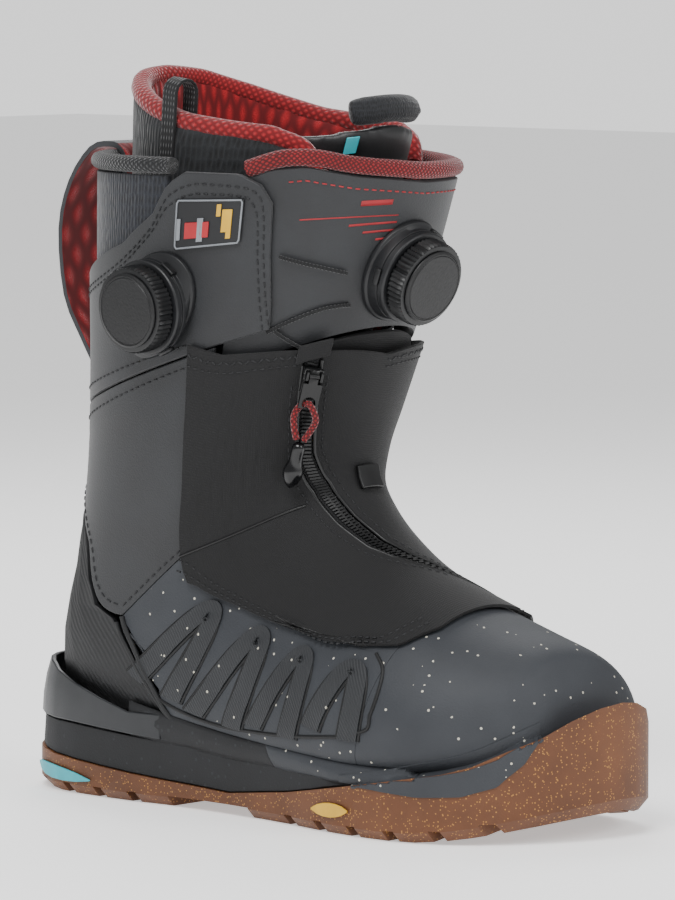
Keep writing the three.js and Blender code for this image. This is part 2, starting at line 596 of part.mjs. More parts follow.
function dial(name, s, degrees, layer) {
  const frame = standOn(s, degrees, layer);
  const perStation = onLast(s + 0.5, degrees).distanceTo(onLast(s - 0.5, degrees));
  const perDegree = onLast(s, degrees + 1).distanceTo(onLast(s, degrees));
  const base = turned([[0, 0.4], [12, 0.4], [FLANGE, GAP], [FLANGE, 2.4], [19.6, 3.2], [19.6, 8.4],
    [18.4, BASE_TOP], [SPOOL + GAP, BASE_TOP], [SPOOL + GAP, 1.5], [SPINDLE, 1.5], [SPINDLE, 8.2], [0, 8.2]], 22);
  // The sewn flange follows the curve of the panel, the rest stays round and level.
  const fitted = mapped(base, (x, y, z) => {
    const rigid = new THREE.Vector3(x, y, z).applyMatrix4(frame);
    const bent = THREE.MathUtils.clamp((Math.hypot(x, y) - 12) / 7, 0, 1) * (z < 3 ? 1 : 0);
    const lying = offLast(s + y / perStation, degrees - x / perDegree, layer + z);
    return rigid.lerp(lying, bent);
  });
  add(`${name}_dial_base`, fitted, GREY_PLASTIC);
  add(`${name}_dial_spool`, turned([[SPINDLE + GAP, 1.9], [SPOOL, 1.9], [SPOOL, 2.9], [7.4, 3.4], [7.4, 6.6],
    [SPOOL, 7.1], [SPOOL, 8.2], [SPINDLE + GAP, 8.2], [SPINDLE + GAP, 1.9]], 16), GREY_PLASTIC, frame);
  add(`${name}_dial_bushing`, turned([[0, BASE_TOP], [2.8, BASE_TOP], [2.8, PLATE - 2], [9, PLATE - 2],
    [9, PLATE - GAP], [2.8, PLATE - GAP], [2.8, FACE - 0.3], [0, FACE - 0.3]], 14), BLACK_PLASTIC, frame);
  add(`${name}_dial_knob`, turned([[2.8 + GAP, PLATE], [15.4, PLATE], [15.4, BASE_TOP + 0.5],
    [GRIP, BASE_TOP + 0.5], [GRIP, FACE - 1], [GRIP - 1, FACE], [2.8 + GAP, FACE], [2.8 + GAP, PLATE]], 24),
  BLACK_PLASTIC, frame);
  add(`${name}_dial_cap`, turned([[0, FACE + GAP], [GRIP - 2.6, FACE + GAP], [GRIP - 2.6, DIAL_RISE - 0.6],
    [GRIP - 3.6, DIAL_RISE], [0, DIAL_RISE + 0.3]]), BLACK_PLASTIC, frame);
}
dial('side', 13.42, 93, 0);
dial('front', 13.25, 1, UNDER);

// ---- laces and their guides ---------------------------------------------------------
const laceLayer = UNDER + 3 * GAP + LACE / 2;
const route = (points) => points.map(([s, degrees]) => offLast(s, degrees, laceLayer));
add('lace_upper', cord(route([[13.35, 27.5], [13.5, 37], [13.65, 46], [13.78, 53]]), LACE, 12, 6), BLACK_CLOTH);
add('lace_lower', cord(route([[12.6, 51], [12.2, 40], [11.6, 20], [11, 0], [10.6, -25], [10.4, -56]]), LACE, 20, 6),
  BLACK_CLOTH);
add('lace_instep', cord(route([[10.2, 56], [9.6, 30], [9, 0], [8.5, -25], [8.2, -50]]), LACE, 20, 6), BLACK_CLOTH);
add('lace_guide_lateral', patchAt(10.2, 63, 16, 9, -SHELL_WALL, COVER - GAP), GREY_PLASTIC);
add('lace_guide_medial', patchAt(10.4, -62, 16, 8, -SHELL_WALL, COVER - 1.5 * GAP), GREY_PLASTIC);

// ---- rear pull strap ----------------------------------------------------------------
const REAR = onLast(COLLAR, 180).x;
const ROPE_TOP = onLast(COLLAR, 180).z + GAP + BINDING_REAR;
function rearStrap() {
  const inner = REAR + BINDING_REAR + 2 * STRAP_THICK;
  const bow = REAR - STRAP_BOW;
  const points = [[inner, 246], [inner, ROPE_TOP - 5], [inner - 3, ROPE_TOP + 0.6], [REAR + 3, ROPE_TOP + 2.4],
    [REAR - 8, ROPE_TOP], [bow + 3, 256], [bow - 3, 236], [bow, 208], [REAR - 13, 190], [REAR - 6, 178],
    [REAR - 5.2, 164]];
  const middle = new THREE.SplineCurve(points.map(([x, z]) => new THREE.Vector2(x, z)));
  const box = new THREE.BoxGeometry(1, 1, 1, 1, 30, 1);
  return mapped(box, (x, y, z) => {
    const p = middle.getPoint(y + 0.5);
    const way = middle.getTangent(y + 0.5);
    return new THREE.Vector3(p.x + way.y * x * STRAP_THICK, z * STRAP_WIDTH, p.y - way.x * x * STRAP_THICK);
  });
}
add('rear_strap', rearStrap(), GREY_LEATHER);

// ---- liner --------------------------------------------------------------------------
const FLAP = 44;                  // half width of the liner's front opening, in degrees
const LINER_JOIN = 9.1;           // station of the seam between the liner's foot and its cuff
const LINER_TOP = [[14.9, 44], [15.3, 55], [15.45, 68], [15.5, 100], [15.65, 130], [15.75, 155], [15.78, 180]];
const linerOuter = (s, degrees) => {
  const room = lerp(LINER_ROOM, LINER_ROOM_TOP, THREE.MathUtils.smoothstep(s, 11, 15.2));
  const round360 = ((degrees % 360) + 360) % 360;
  const under = THREE.MathUtils.smoothstep(Math.abs(180 - round360), 30, 60);
  const floor = s < FOOT_END ? -SHELL_WALL - GAP : INNER - room;
  return lerp(floor, INNER - room, s < FOOT_END ? under : 1);
};

function linerFoot() {
  const rings = [2.1, 2.6, 3.4, 4.3, 5.3, 6.3, 7.3, 8.3, LINER_JOIN - SEAM];
  const profile = [new THREE.Vector2(0, 0)];
  rings.forEach((s, i) => profile.push(new THREE.Vector2(1, i + 1)));
  [...rings].reverse().slice(0, -1).forEach((s, i) => profile.push(new THREE.Vector2(1, 20 + i)));
  profile.push(new THREE.Vector2(0, 40));
  const middleOf = (s) => onLast(s, 90).add(onLast(s, 270)).multiplyScalar(0.5);
  return mapped(new THREE.LatheGeometry(profile, 20), (x, y, z) => {
    const k = Math.round(y);
    if (k === 0) return middleOf(1.9);
    if (k === 40) return middleOf(rings[1]);
    const degrees = THREE.MathUtils.radToDeg(Math.atan2(z, x));
    const s = k < 20 ? rings[k - 1] : rings[rings.length - 1 - (k - 20)];
    return offLast(s, degrees, linerOuter(s, degrees) - (k < 20 ? 0 : LINER_WALL));
  });
}

function linerCuff() {
  const box = new THREE.BoxGeometry(1, 1, 1, 18, 8, 1);
  return mapped(box, (x, y, z) => {
    const degrees = lerp(FLAP, 360 - FLAP, x + 0.5);
    const top = along(LINER_TOP, degrees > 180 ? 360 - degrees : degrees);
    const s = lerp(LINER_JOIN + SEAM, top, y + 0.5);
    return offLast(s, degrees, linerOuter(s, degrees) - (0.5 - z) * LINER_WALL);
  });
}

const tongueOuter = (s) => linerOuter(Math.max(s, 9.3), 0) - LINER_WALL - 2 * GAP - (s < 10 ? 0.8 : 0.1);
const TONGUE_TOP = 15.42;
const TONGUE_SIDES = [-44, 78];   // the tongue wraps further round on the lateral side at its top
function linerTongue() {
  const box = new THREE.BoxGeometry(1, 1, 1, 9, 11, 1);
  return mapped(box, (x, y, z) => {
    const s = lerp(8.6, TONGUE_TOP, y + 0.5);
    const lateral = lerp(46, TONGUE_SIDES[1], THREE.MathUtils.smoothstep(s, 11, 14.5));
    return offLast(s, lerp(TONGUE_SIDES[0], lateral, x + 0.5), tongueOuter(s) - (0.5 - z) * TONGUE_WALL);
  });
}

const PAD = 12.5;                 // diameter of the roll on top of the tongue
const padLine = round(-26, 34, 9, (a) => offLast(TONGUE_TOP, a, tongueOuter(TONGUE_TOP) - TONGUE_WALL / 2)
  .add(new THREE.Vector3(0, 0, PAD / 2 + GAP)));

// Webbing loop: up the outside of the liner, over its edge, and down the inside.
function linerLoop() {
  const s = 15.5;
  const a = 103;
  const frame = standOn(s, a, linerOuter(s, a) - LINER_WALL / 2);
  const reach = LINER_WALL / 2 + 1.6;
  const box = new THREE.BoxGeometry(1, 1, 1, 1, 22, 1);
  return mapped(box, (x, y, z) => {
    const t = y + 0.5;
    const turn = Math.PI * THREE.MathUtils.clamp((t - 0.45) / 0.3, 0, 1);
    const drop = Math.max(0, 0.45 - t) * 62 + Math.max(0, t - 0.75) * 60;
    const radius = reach + z * 1.2;
    return new THREE.Vector3(x * LOOP_WIDTH, 11 + radius * Math.sin(turn) - drop, radius * Math.cos(turn))
      .applyMatrix4(frame);
  });
}

const INSOLE = -SHELL_WALL - 4 * GAP - LINER_WALL;   // underside of the footbed
function footbed() {
  return panel(5, 10, (u, v) => [lerp(3.6, 8, v), lerp(154, 206, u)],
    wall(INSOLE - 3, INSOLE));
}
add('liner_foot', linerFoot(), BLACK_MESH);
add('liner_cuff', linerCuff(), BLACK_MESH);
add('liner_tongue', linerTongue(), BLACK_CLOTH);
add('tongue_pad', cord(padLine, PAD, 12, 10), BLACK_MESH);
add('liner_loop', linerLoop(), BLACK_CLOTH);
add('liner_tag', patchAt(15.2, 31, 7, 9, tongueOuter(15.2) + GAP, tongueOuter(15.2) + 1.2, 1), TURQUOISE);
add('footbed', footbed(), FOAM);

// ---- small pieces on the sole -------------------------------------------------------
function soleTrim(from, to, heightAt, tall) {
  const box = new THREE.BoxGeometry(1, 1, 1, 6, 1, 1);
  return mapped(box, (x, y, z) => {
    const share = lerp(from, to, x + 0.5);
    const p = plan.getPoint(share);
    const edge = plan.getTangent(share);
    const out = GAP + (z + 0.5) * 0.8;
    const leaf = Math.max(0.12, Math.sin(Math.PI * (x + 0.5)) ** 0.6);
    const height = lerp(heightAt[0], heightAt[1], x + 0.5) + y * tall * leaf;
    return new THREE.Vector3(p.x + edge.y * out, p.y - edge.x * out, height);
  });
}
add('heel_insert', soleTrim(0.548, 0.618, [10, 7], 6), TURQUOISE);
add('sole_badge', soleTrim(0.775, 0.806, [9.5, 10.5], 6), YELLOW);

// The origin is the middle of the boot's outline, on the ground.
const extent = new THREE.Box3().setFromObject(boot, true);
const middlePoint = extent.getCenter(new THREE.Vector3());
boot.position.set(-middlePoint.x, -middlePoint.y, -extent.min.z);

export default boot;
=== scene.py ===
# %% [markdown]
# # A soft snowboard boot
# A snowboard boot is a sewn shell of synthetic leather and rubber round a removable foam
# liner. The solid parts come in already made, and stay where they are. This lesson adds
# what the eye looks for: cloth, stitching, knurling, flecked rubber, and soft rolled edges.

# %% Load the solid parts
import math
import random

import bmesh
import bpy
from mathutils import Matrix, Vector
from mathutils.bvhtree import BVHTree
from mathutils.kdtree import KDTree


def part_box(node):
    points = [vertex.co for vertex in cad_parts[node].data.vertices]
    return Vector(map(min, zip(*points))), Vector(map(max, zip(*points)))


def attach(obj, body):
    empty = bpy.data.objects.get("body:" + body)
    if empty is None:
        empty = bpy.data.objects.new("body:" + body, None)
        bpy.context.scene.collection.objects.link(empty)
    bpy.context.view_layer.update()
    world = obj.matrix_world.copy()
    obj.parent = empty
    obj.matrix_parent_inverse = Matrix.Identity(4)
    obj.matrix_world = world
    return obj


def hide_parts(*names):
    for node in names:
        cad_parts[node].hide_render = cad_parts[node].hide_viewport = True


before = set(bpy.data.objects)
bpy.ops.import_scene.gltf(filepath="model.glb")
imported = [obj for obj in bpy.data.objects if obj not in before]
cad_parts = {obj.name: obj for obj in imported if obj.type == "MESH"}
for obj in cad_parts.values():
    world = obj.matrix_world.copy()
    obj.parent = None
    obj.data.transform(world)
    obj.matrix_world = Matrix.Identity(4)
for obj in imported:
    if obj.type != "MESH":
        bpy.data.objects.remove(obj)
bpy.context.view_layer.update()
random.seed(7)
MM = 0.001
print("solid parts:", len(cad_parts))

# %% [markdown]
# ## Camera
# A long lens far away flattens the boot the way a product shot does. The camera turns
# round a point near the boot's middle, so its place follows from one angle pair.

# %% Camera
SIDE_ANGLE = math.radians(42)
RISE_ANGLE = math.radians(5)
back = Vector((math.sin(SIDE_ANGLE) * math.cos(RISE_ANGLE),
               -math.cos(SIDE_ANGLE) * math.cos(RISE_ANGLE), math.sin(RISE_ANGLE)))
turn = back.to_track_quat("Z", "Y")
right, up = turn @ Vector((1, 0, 0)), turn @ Vector((0, 1, 0))
aim = Vector((3.5, 8.4, 150)) * MM + right * 2.3 * MM - up * 1.2 * MM
lens = bpy.data.cameras.new("camera")
lens.lens = 252
lens.sensor_width = 36
lens.clip_end = 20
camera = bpy.data.objects.new("camera", lens)
camera.location = aim + back * 2.6
camera.rotation_euler = turn.to_euler()
bpy.context.scene.collection.objects.link(camera)
bpy.context.scene.camera = camera
print("camera at", [round(x, 2) for x in camera.location])

# %% [markdown]
# ## The last
# Every sewn panel follows one curved form, the shoemaker's last. It is a stack of rounded
# sections from the toe tip to the collar. A place on it is a station along the stack and
# an angle round it: 0 is the front, 90 the outer side, 180 the back or the sole.

# %% The last
#        front x, z   back x, z  half width, shift, widest at, front and back squareness
STATIONS = [
    (132, 46, 132, 38, 6, 12, 0.5, 2, 2),
    (130.5, 57, 131, 30, 26, 11, 0.55, 2.2, 2.6),
    (126.5, 67, 126, 27, 36, 9, 0.6, 2.1, 3),
    (121, 75, 114, 25, 44, 6, 0.66, 2, 3.6),
    (101, 82.5, 90, 23.5, 53, 2, 0.7, 2, 4),
    (74, 93, 57, 23, 56, -1, 0.72, 1.95, 4),
    (51, 103, 20, 24, 53, -1, 0.72, 1.9, 4),
    (34, 115, -18, 25.5, 48.5, 0, 0.72, 1.95, 4),
    (22, 128, -60, 28, 46.5, 0, 0.68, 2, 3.8),
    (15.5, 142, -106, 31, 45.5, 0, 0.6, 2.05, 3.4),
    (18, 160, -136, 44, 47.5, 0, 0.52, 2.1, 2.8),
    (23, 176, -128, 90, 52, 0, 0.5, 2.1, 2.3),
    (31, 196, -121, 132, 55, 0, 0.5, 2.1, 2.2),
    (40, 218, -118, 176, 58, 0, 0.5, 2.1, 2.2),
    (48, 241, -117, 220, 61, 0, 0.5, 2.1, 2.2),
    (56, 264, -116, 266, 63, 0, 0.5, 2.1, 2.2),
    (64, 285, -115, 310, 64, 0, 0.5, 2.1, 2.2),
]
ORIGIN = Vector((3.475, 8.44, 0))


def section(s):
    s = min(max(s, 0), len(STATIONS) - 1.001)
    i, f = int(s), s - int(s)
    a, b, c, d = (STATIONS[min(max(k, 0), len(STATIONS) - 1)] for k in (i - 1, i, i + 1, i + 2))
    return [0.5 * (2 * q + (r - p) * f + (2 * p - 5 * q + 4 * r - t) * f * f
                   + (3 * q - p - 3 * r + t) * f ** 3) for p, q, r, t in zip(a, b, c, d)]


def on_last(s, degrees):
    fx, fz, bx, bz, half, shift, wide, top, sole = section(s)
    c, n = math.cos(math.radians(degrees)), math.sin(math.radians(degrees))
    power = 2 / (top if c >= 0 else sole)
    depth = wide * (1 - abs(c) ** power) if c >= 0 else wide + (1 - wide) * abs(c) ** power
    side = math.copysign(abs(n) ** power, n)
    return Vector((fx + (bx - fx) * depth, shift - half * side, fz + (bz - fz) * depth)) + ORIGIN


def outward(s, degrees):
    ds = on_last(s + 0.02, degrees) - on_last(s - 0.02, degrees)
    dt = on_last(s, degrees + 0.5) - on_last(s, degrees - 0.5)
    return ds.cross(dt).normalized()


def off_last(s, degrees, out):
    """A place in metres, `out` millimetres off the last."""
    return (on_last(s, degrees) + outward(s, degrees) * out) * MM


def lerp(a, b, f):
    return a + (b - a) * f


def ease(x, low, high):
    f = min(max((x - low) / (high - low), 0), 1)
    return f * f * (3 - 2 * f)


def along(line, x, key=1, value=0):
    """Straight-line lookup in a design line of (station, degrees) pairs."""
    rows = sorted(line, key=lambda row: row[key])
    if x <= rows[0][key]:
        return rows[0][value]
    for low, high in zip(rows, rows[1:]):
        if x <= high[key]:
            return lerp(low[value], high[value], (x - low[key]) / (high[key] - low[key]))
    return rows[-1][value]


print("last from toe", [round(x, 1) for x in on_last(0, 0)], "to collar", [round(x, 1) for x in on_last(15, 180)])

# %% [markdown]
# ## Finishes
# Each finish starts from what the real one is. Two small helpers do the wiring: one turns
# a hex colour into the linear values the renderer works in, one adds a node with its
# settings and links. Patterns are sized in real millimetres.

# %% Helpers for finishes
def colour(code):
    parts = [int(code[i:i + 2], 16) / 255 for i in (1, 3, 5)]
    return tuple(p / 12.92 if p <= 0.04045 else ((p + 0.055) / 1.055) ** 2.4 for p in parts) + (1,)


def node(tree, kind, links=None, **settings):
    """Adds a node. Settings with a matching socket go to the socket, the rest to the node."""
    made = tree.nodes.new("ShaderNode" + kind)
    for name, value in settings.items():
        if name in ("blend_type", "operation", "data_type", "feature", "wave_type", "bands_direction",
                    "wave_profile", "distance", "attribute_name", "uv_map", "vector_type", "noise_dimensions"):
            setattr(made, name, value)
        else:
            made.inputs[name.replace("_", " ")].default_value = value
    for name, source in (links or {}).items():
        socket = made.inputs[int(name)] if name.isdigit() else made.inputs[name]
        tree.links.new(source, socket)
    return made


def new_finish(name, base, roughness, **shader):
    """A finish with one plain colour. Its pattern is wired on afterwards."""
    finish = bpy.data.materials.new(name)
    finish.use_nodes = True
    tree = finish.node_tree
    skin = tree.nodes["Principled BSDF"]
    skin.inputs["Base Color"].default_value = colour(base)
    skin.inputs["Roughness"].default_value = roughness
    for key, value in shader.items():
        skin.inputs[key.replace("_", " ")].default_value = value
    return finish, tree, skin


def ramp(tree, source, stops):
    """A colour ramp from (place, hex colour) stops."""
    made = tree.nodes.new("ShaderNodeValToRGB")
    band = made.color_ramp
    while len(band.elements) < len(stops):
        band.elements.new(0.5)
    for element, (place, code) in zip(band.elements, stops):
        element.position = place
        element.color = colour(code)
    tree.links.new(source, made.inputs["Fac"])
    return made.outputs["Color"]


def emboss(tree, skin, height, depth_mm, strength=1.0):
    """Height, from 0 to 1, felt as real depth."""
    made = node(tree, "Bump", {"Height": height}, Distance=depth_mm * MM, Strength=strength)
    tree.links.new(made.outputs["Normal"], skin.inputs["Normal"])
    return made


def place(tree):
    return node(tree, "TexCoord").outputs["Object"]


def cloth_map(tree):
    """The piece's own map: millimetres round the boot and up it, held in metres."""
    return node(tree, "UVMap", uv_map="wrap").outputs["UV"]


print("helpers ready")

# %% [markdown]
# ## Synthetic leather
# The panels are polyurethane leather: a knitted back with a matt embossed skin. It has a
# pebbled grain about 0.7 mm across, and soft creases show as uneven gloss.

# %% Synthetic leather
def pebbled_leather(name, dark, light, roughness, grain=0.75, depth=0.10, sheen=0.15):
    finish, tree, skin = new_finish(name, light, roughness, Sheen_Weight=sheen, Sheen_Roughness=0.5)
    at = place(tree)
    pebbles = node(tree, "TexVoronoi", {"Vector": at}, feature="SMOOTH_F1", Scale=1 / (grain * MM), Smoothness=0.4)
    folds = node(tree, "TexNoise", {"Vector": at}, Scale=42, Detail=4, Roughness=0.55)
    fine = node(tree, "TexNoise", {"Vector": at}, Scale=1 / (0.5 * MM), Detail=2)
    shade = ramp(tree, folds.outputs["Fac"], [(0.32, dark), (0.68, light)])
    grainy = node(tree, "Mix", {"0": fine.outputs["Fac"], "6": shade}, data_type="RGBA", blend_type="MULTIPLY")
    grainy.inputs[7].default_value = colour("#d4d4d6")
    tree.links.new(grainy.outputs[2], skin.inputs["Base Color"])
    gloss = node(tree, "MapRange", {"Value": folds.outputs["Fac"]}, To_Min=roughness - 0.09, To_Max=roughness + 0.1)
    tree.links.new(gloss.outputs["Result"], skin.inputs["Roughness"])
    raised = node(tree, "Math", {"0": pebbles.outputs["Distance"], "1": fine.outputs["Fac"]}, operation="ADD")
    emboss(tree, skin, raised.outputs[0], depth, 0.6)
    return finish


panel_leather = pebbled_leather("pebbled_pu_leather_grey", "#1c1d20", "#27292c", 0.56)
strap_leather = pebbled_leather("pebbled_pu_leather_strap", "#26282b", "#323438", 0.6)
tongue_leather = pebbled_leather("smooth_pu_leather_black", "#0d0e10", "#141518", 0.44, grain=0.9, depth=0.05)
print("leathers:", panel_leather.name, strap_leather.name, tongue_leather.name)

# %% [markdown]
# ## Softshell, mesh, knit and fleece
# Softshell is a tight stretch weave: nearly flat, with a faint ribbing. Spacer mesh has
# open cells 2 mm across. Fleece is a short pile, so it has a soft edge glow. Each pattern
# follows the piece's own map, so that it runs round the boot like real cloth.

# %% Woven and knitted finishes
def ribbed_cloth(name, dark, light, pitch, depth, roughness=0.85, sheen=0.3, tilt=0.0):
    """Two crossing sets of yarns `pitch` millimetres apart."""
    finish, tree, skin = new_finish(name, light, roughness, Sheen_Weight=sheen, Sheen_Roughness=0.4)
    at = node(tree, "Mapping", {"Vector": cloth_map(tree)}, Rotation=(0, 0, tilt))
    scale = 2 * math.pi / (20 * pitch * MM)
    warp = node(tree, "TexWave", {"Vector": at.outputs[0]}, bands_direction="X", Scale=scale, Distortion=0.4)
    weft = node(tree, "TexWave", {"Vector": at.outputs[0]}, bands_direction="Y", Scale=scale, Distortion=0.4)
    yarns = node(tree, "Math", {"0": warp.outputs["Fac"], "1": weft.outputs["Fac"]}, operation="MULTIPLY")
    wear = node(tree, "TexNoise", {"Vector": place(tree)}, Scale=55, Detail=4)
    # The colour follows the yarns' height: the dark colour in the gaps between yarns is painted shade.
    body = ramp(tree, yarns.outputs[0], [(0.0, dark), (0.8, light)])
    worn = node(tree, "Mix", {"0": wear.outputs["Fac"], "6": body}, data_type="RGBA", blend_type="MULTIPLY")
    worn.inputs[7].default_value = colour("#b4b4b8")
    tree.links.new(worn.outputs[2], skin.inputs["Base Color"])
    emboss(tree, skin, yarns.outputs[0], depth, 0.8)
    return finish


softshell = ribbed_cloth("softshell_black", "#08080a", "#111113", 0.9, 0.10, roughness=0.8, sheen=0.12)
rope_knit = ribbed_cloth("knitted_binding_dark", "#0e0f11", "#26282c", 1.7, 0.5, tilt=0.7)
red_knit = ribbed_cloth("knitted_binding_red", "#4e070c", "#b01c22", 1.5, 0.45, tilt=0.7)
lace_braid = ribbed_cloth("braided_lace_black", "#090a0b", "#1c1d20", 1.0, 0.25, tilt=0.78)
webbing = ribbed_cloth("ribbed_webbing_black", "#0a0a0c", "#1e1f22", 1.6, 0.4)
webbing_grey = ribbed_cloth("ribbed_webbing_grey", "#222428", "#3c3f44", 1.4, 0.35)


def spacer_mesh(name, cell_shade, yarn, cell, depth, sheen=0.25):
    """Knitted yarn round open cells `cell` millimetres across."""
    finish, tree, skin = new_finish(name, yarn, 0.88, Sheen_Weight=sheen, Sheen_Roughness=0.4)
    at = node(tree, "Mapping", {"Vector": cloth_map(tree)}, Scale=(1, 0.72, 1))
    cells = node(tree, "TexVoronoi", {"Vector": at.outputs[0]}, Scale=1 / (cell * MM), Randomness=0.35)
    yarns = node(tree, "TexNoise", {"Vector": place(tree)}, Scale=1 / (0.7 * MM), Detail=2)
    wall = node(tree, "Math", {"0": cells.outputs["Distance"], "1": yarns.outputs["Fac"]}, operation="MULTIPLY")
    # The near-black colour in the middle of each cell is painted shade in the open cells.
    tree.links.new(ramp(tree, wall.outputs[0], [(0.04, cell_shade), (0.3, yarn)]), skin.inputs["Base Color"])
    emboss(tree, skin, cells.outputs["Distance"], depth, 0.9)
    return finish


liner_mesh = spacer_mesh("spacer_mesh_black", "#040405", "#1e2023", 2.4, 0.8)
pad_mesh = spacer_mesh("fine_mesh_black", "#050506", "#1d1f23", 1.5, 0.4)
gore_mesh = spacer_mesh("knitted_mesh_navy", "#0b0c10", "#22252d", 1.9, 0.5)


def quilted_fleece(name, deep, high, quilt):
    """Short pile, pressed into a grid of squares `quilt` millimetres across."""
    finish, tree, skin = new_finish(name, high, 0.95, Sheen_Weight=0.6, Sheen_Roughness=0.35)
    at = node(tree, "Mapping", {"Vector": cloth_map(tree)}, Rotation=(0, 0, 0.785))
    scale = 2 * math.pi / (20 * quilt * MM)
    one = node(tree, "TexWave", {"Vector": at.outputs[0]}, bands_direction="X", Scale=scale, Distortion=0.6)
    two = node(tree, "TexWave", {"Vector": at.outputs[0]}, bands_direction="Y", Scale=scale, Distortion=0.6)
    pillows = node(tree, "Math", {"0": one.outputs["Fac"], "1": two.outputs["Fac"]}, operation="MULTIPLY")
    pile = node(tree, "TexNoise", {"Vector": place(tree)}, Scale=1 / (0.8 * MM), Detail=3, Roughness=0.7)
    mixed = node(tree, "Math", {"0": pillows.outputs[0], "1": pile.outputs["Fac"]}, operation="MULTIPLY_ADD")
    mixed.inputs[2].default_value = 0.12
    # The deep colour along the quilt lines is painted shade in the pressed grooves; the high colour is the red pile on
    # the pillows.
    tree.links.new(ramp(tree, mixed.outputs[0], [(0.05, deep), (0.6, high)]), skin.inputs["Base Color"])
    emboss(tree, skin, mixed.outputs[0], 0.9, 0.7)
    return finish


red_fleece = quilted_fleece("quilted_fleece_red", "#4a060b", "#a61c22", 6.0)
edge_fleece = quilted_fleece("edge_fleece_red", "#5c0a0f", "#b0262b", 2.4)
print("cloths ready")

# %% [markdown]
# ## Rubbers and plastics
# The toe and side rubber is moulded with pale regrind flecks; the outsole is gum rubber
# with gold flecks; the midsole is foam with a fine skin. Dials are glass-filled nylon,
# which has a dry, slightly sparkling surface.

# %% Rubbers and plastics
def flecked_rubber(name, base, deep, fleck, fleck_mm, share, roughness=0.62, hatch=0.0):
    """Moulded rubber with flecks in about `share` of the cells of a `fleck_mm` grid."""
    finish, tree, skin = new_finish(name, base, roughness)
    at = place(tree)
    cells = node(tree, "TexVoronoi", {"Vector": at}, Scale=1 / (fleck_mm * MM))
    chosen = node(tree, "SeparateColor", {"Color": cells.outputs["Color"]})
    some = node(tree, "Math", {"0": chosen.outputs[0]}, operation="LESS_THAN")
    some.inputs[1].default_value = share
    small = node(tree, "Math", {"0": cells.outputs["Distance"]}, operation="LESS_THAN")
    small.inputs[1].default_value = 0.36
    dot = node(tree, "Math", {"0": some.outputs[0], "1": small.outputs[0]}, operation="MULTIPLY")
    cloud = node(tree, "TexNoise", {"Vector": at}, Scale=35, Detail=5)
    under = ramp(tree, cloud.outputs["Fac"], [(0.3, deep), (0.7, base)])
    mixed = node(tree, "Mix", {"0": dot.outputs[0], "6": under}, data_type="RGBA")
    mixed.inputs[7].default_value = colour(fleck)
    tree.links.new(mixed.outputs[2], skin.inputs["Base Color"])
    fine = node(tree, "TexNoise", {"Vector": at}, Scale=1 / (0.8 * MM), Detail=3)
    height = fine.outputs["Fac"]
    if hatch:
        tilted = node(tree, "Mapping", {"Vector": at}, Rotation=(0, 0.6, 0))
        lines = node(tree, "TexWave", {"Vector": tilted.outputs[0]}, bands_direction="X", Scale=2 * math.pi / (20 * hatch * MM))
        both = node(tree, "Math", {"0": lines.outputs["Fac"], "1": height}, operation="ADD")
        height = both.outputs[0]
    emboss(tree, skin, height, 0.18, 0.7)
    return finish


toe_rubber = flecked_rubber("moulded_rubber_flecked_grey", "#34373c", "#2b2e33", "#c9c5b6", 1.5, 0.022)
toe_ribbed = flecked_rubber("ribbed_rubber_flecked_grey", "#2a2c2f", "#222427", "#c4c0b0", 1.6, 0.012, hatch=1.3)
counter_rubber = flecked_rubber("ribbed_rubber_dark", "#17181a", "#111214", "#202124", 1.6, 0.1, hatch=2.4)
gum_rubber = flecked_rubber("gum_rubber_flecked", "#6d4122", "#563118", "#a8763a", 0.9, 0.26, roughness=0.6)
midsole_foam = flecked_rubber("moulded_foam_dark", "#1c1d20", "#151618", "#25272a", 2.0, 0.1, roughness=0.7)


def moulded_plastic(name, base, deep, roughness, grain=0.5, depth=0.05):
    finish, tree, skin = new_finish(name, base, roughness)
    at = place(tree)
    spark = node(tree, "TexNoise", {"Vector": at}, Scale=1 / (grain * MM), Detail=2)
    cloud = node(tree, "TexNoise", {"Vector": at}, Scale=90, Detail=4)
    tree.links.new(ramp(tree, cloud.outputs["Fac"], [(0.3, deep), (0.7, base)]), skin.inputs["Base Color"])
    rough = node(tree, "MapRange", {"Value": spark.outputs["Fac"]}, To_Min=roughness - 0.08, To_Max=roughness + 0.1)
    tree.links.new(rough.outputs["Result"], skin.inputs["Roughness"])
    emboss(tree, skin, spark.outputs["Fac"], depth, 0.5)
    return finish


dial_nylon = moulded_plastic("glass_filled_nylon_black", "#111214", "#0b0c0e", 0.42)
dial_cap_finish = moulded_plastic("textured_nylon_cap", "#0c0d0f", "#08080a", 0.5, grain=1.1, depth=0.25)
dial_base_nylon = moulded_plastic("nylon_base_grey", "#18191c", "#121315", 0.45)
zip_plastic = moulded_plastic("acetal_black", "#0c0d0e", "#070708", 0.35)
clip_plastic = moulded_plastic("moulded_tpu_grey", "#27292c", "#1f2124", 0.4)
sleeve_plastic = moulded_plastic("shrink_sleeve_gloss_black", "#0d0d0f", "#08080a", 0.18, grain=2, depth=0.03)
guide_plastic = moulded_plastic("nylon_guide_grey", "#161719", "#101113", 0.45)
turquoise = moulded_plastic("turquoise_rubber", "#37b8c4", "#2ba4b2", 0.45)
yellow = moulded_plastic("yellow_rubber", "#e3b32e", "#d0a024", 0.45)
badge_grey = moulded_plastic("moulded_badge_grey", "#8b8f94", "#7b7f84", 0.5)
badge_black = moulded_plastic("moulded_badge_black", "#1a1b1e", "#141517", 0.5)
badge_red = moulded_plastic("moulded_badge_red", "#b5272e", "#a02026", 0.5)
thread_dark = moulded_plastic("polyester_thread_dark", "#17181b", "#111214", 0.6)
thread_grey = moulded_plastic("polyester_thread_grey", "#6a6c71", "#5b5d62", 0.6)
thread_red = moulded_plastic("polyester_thread_red", "#a8242b", "#8f1c22", 0.6)
print("rubbers and plastics ready")

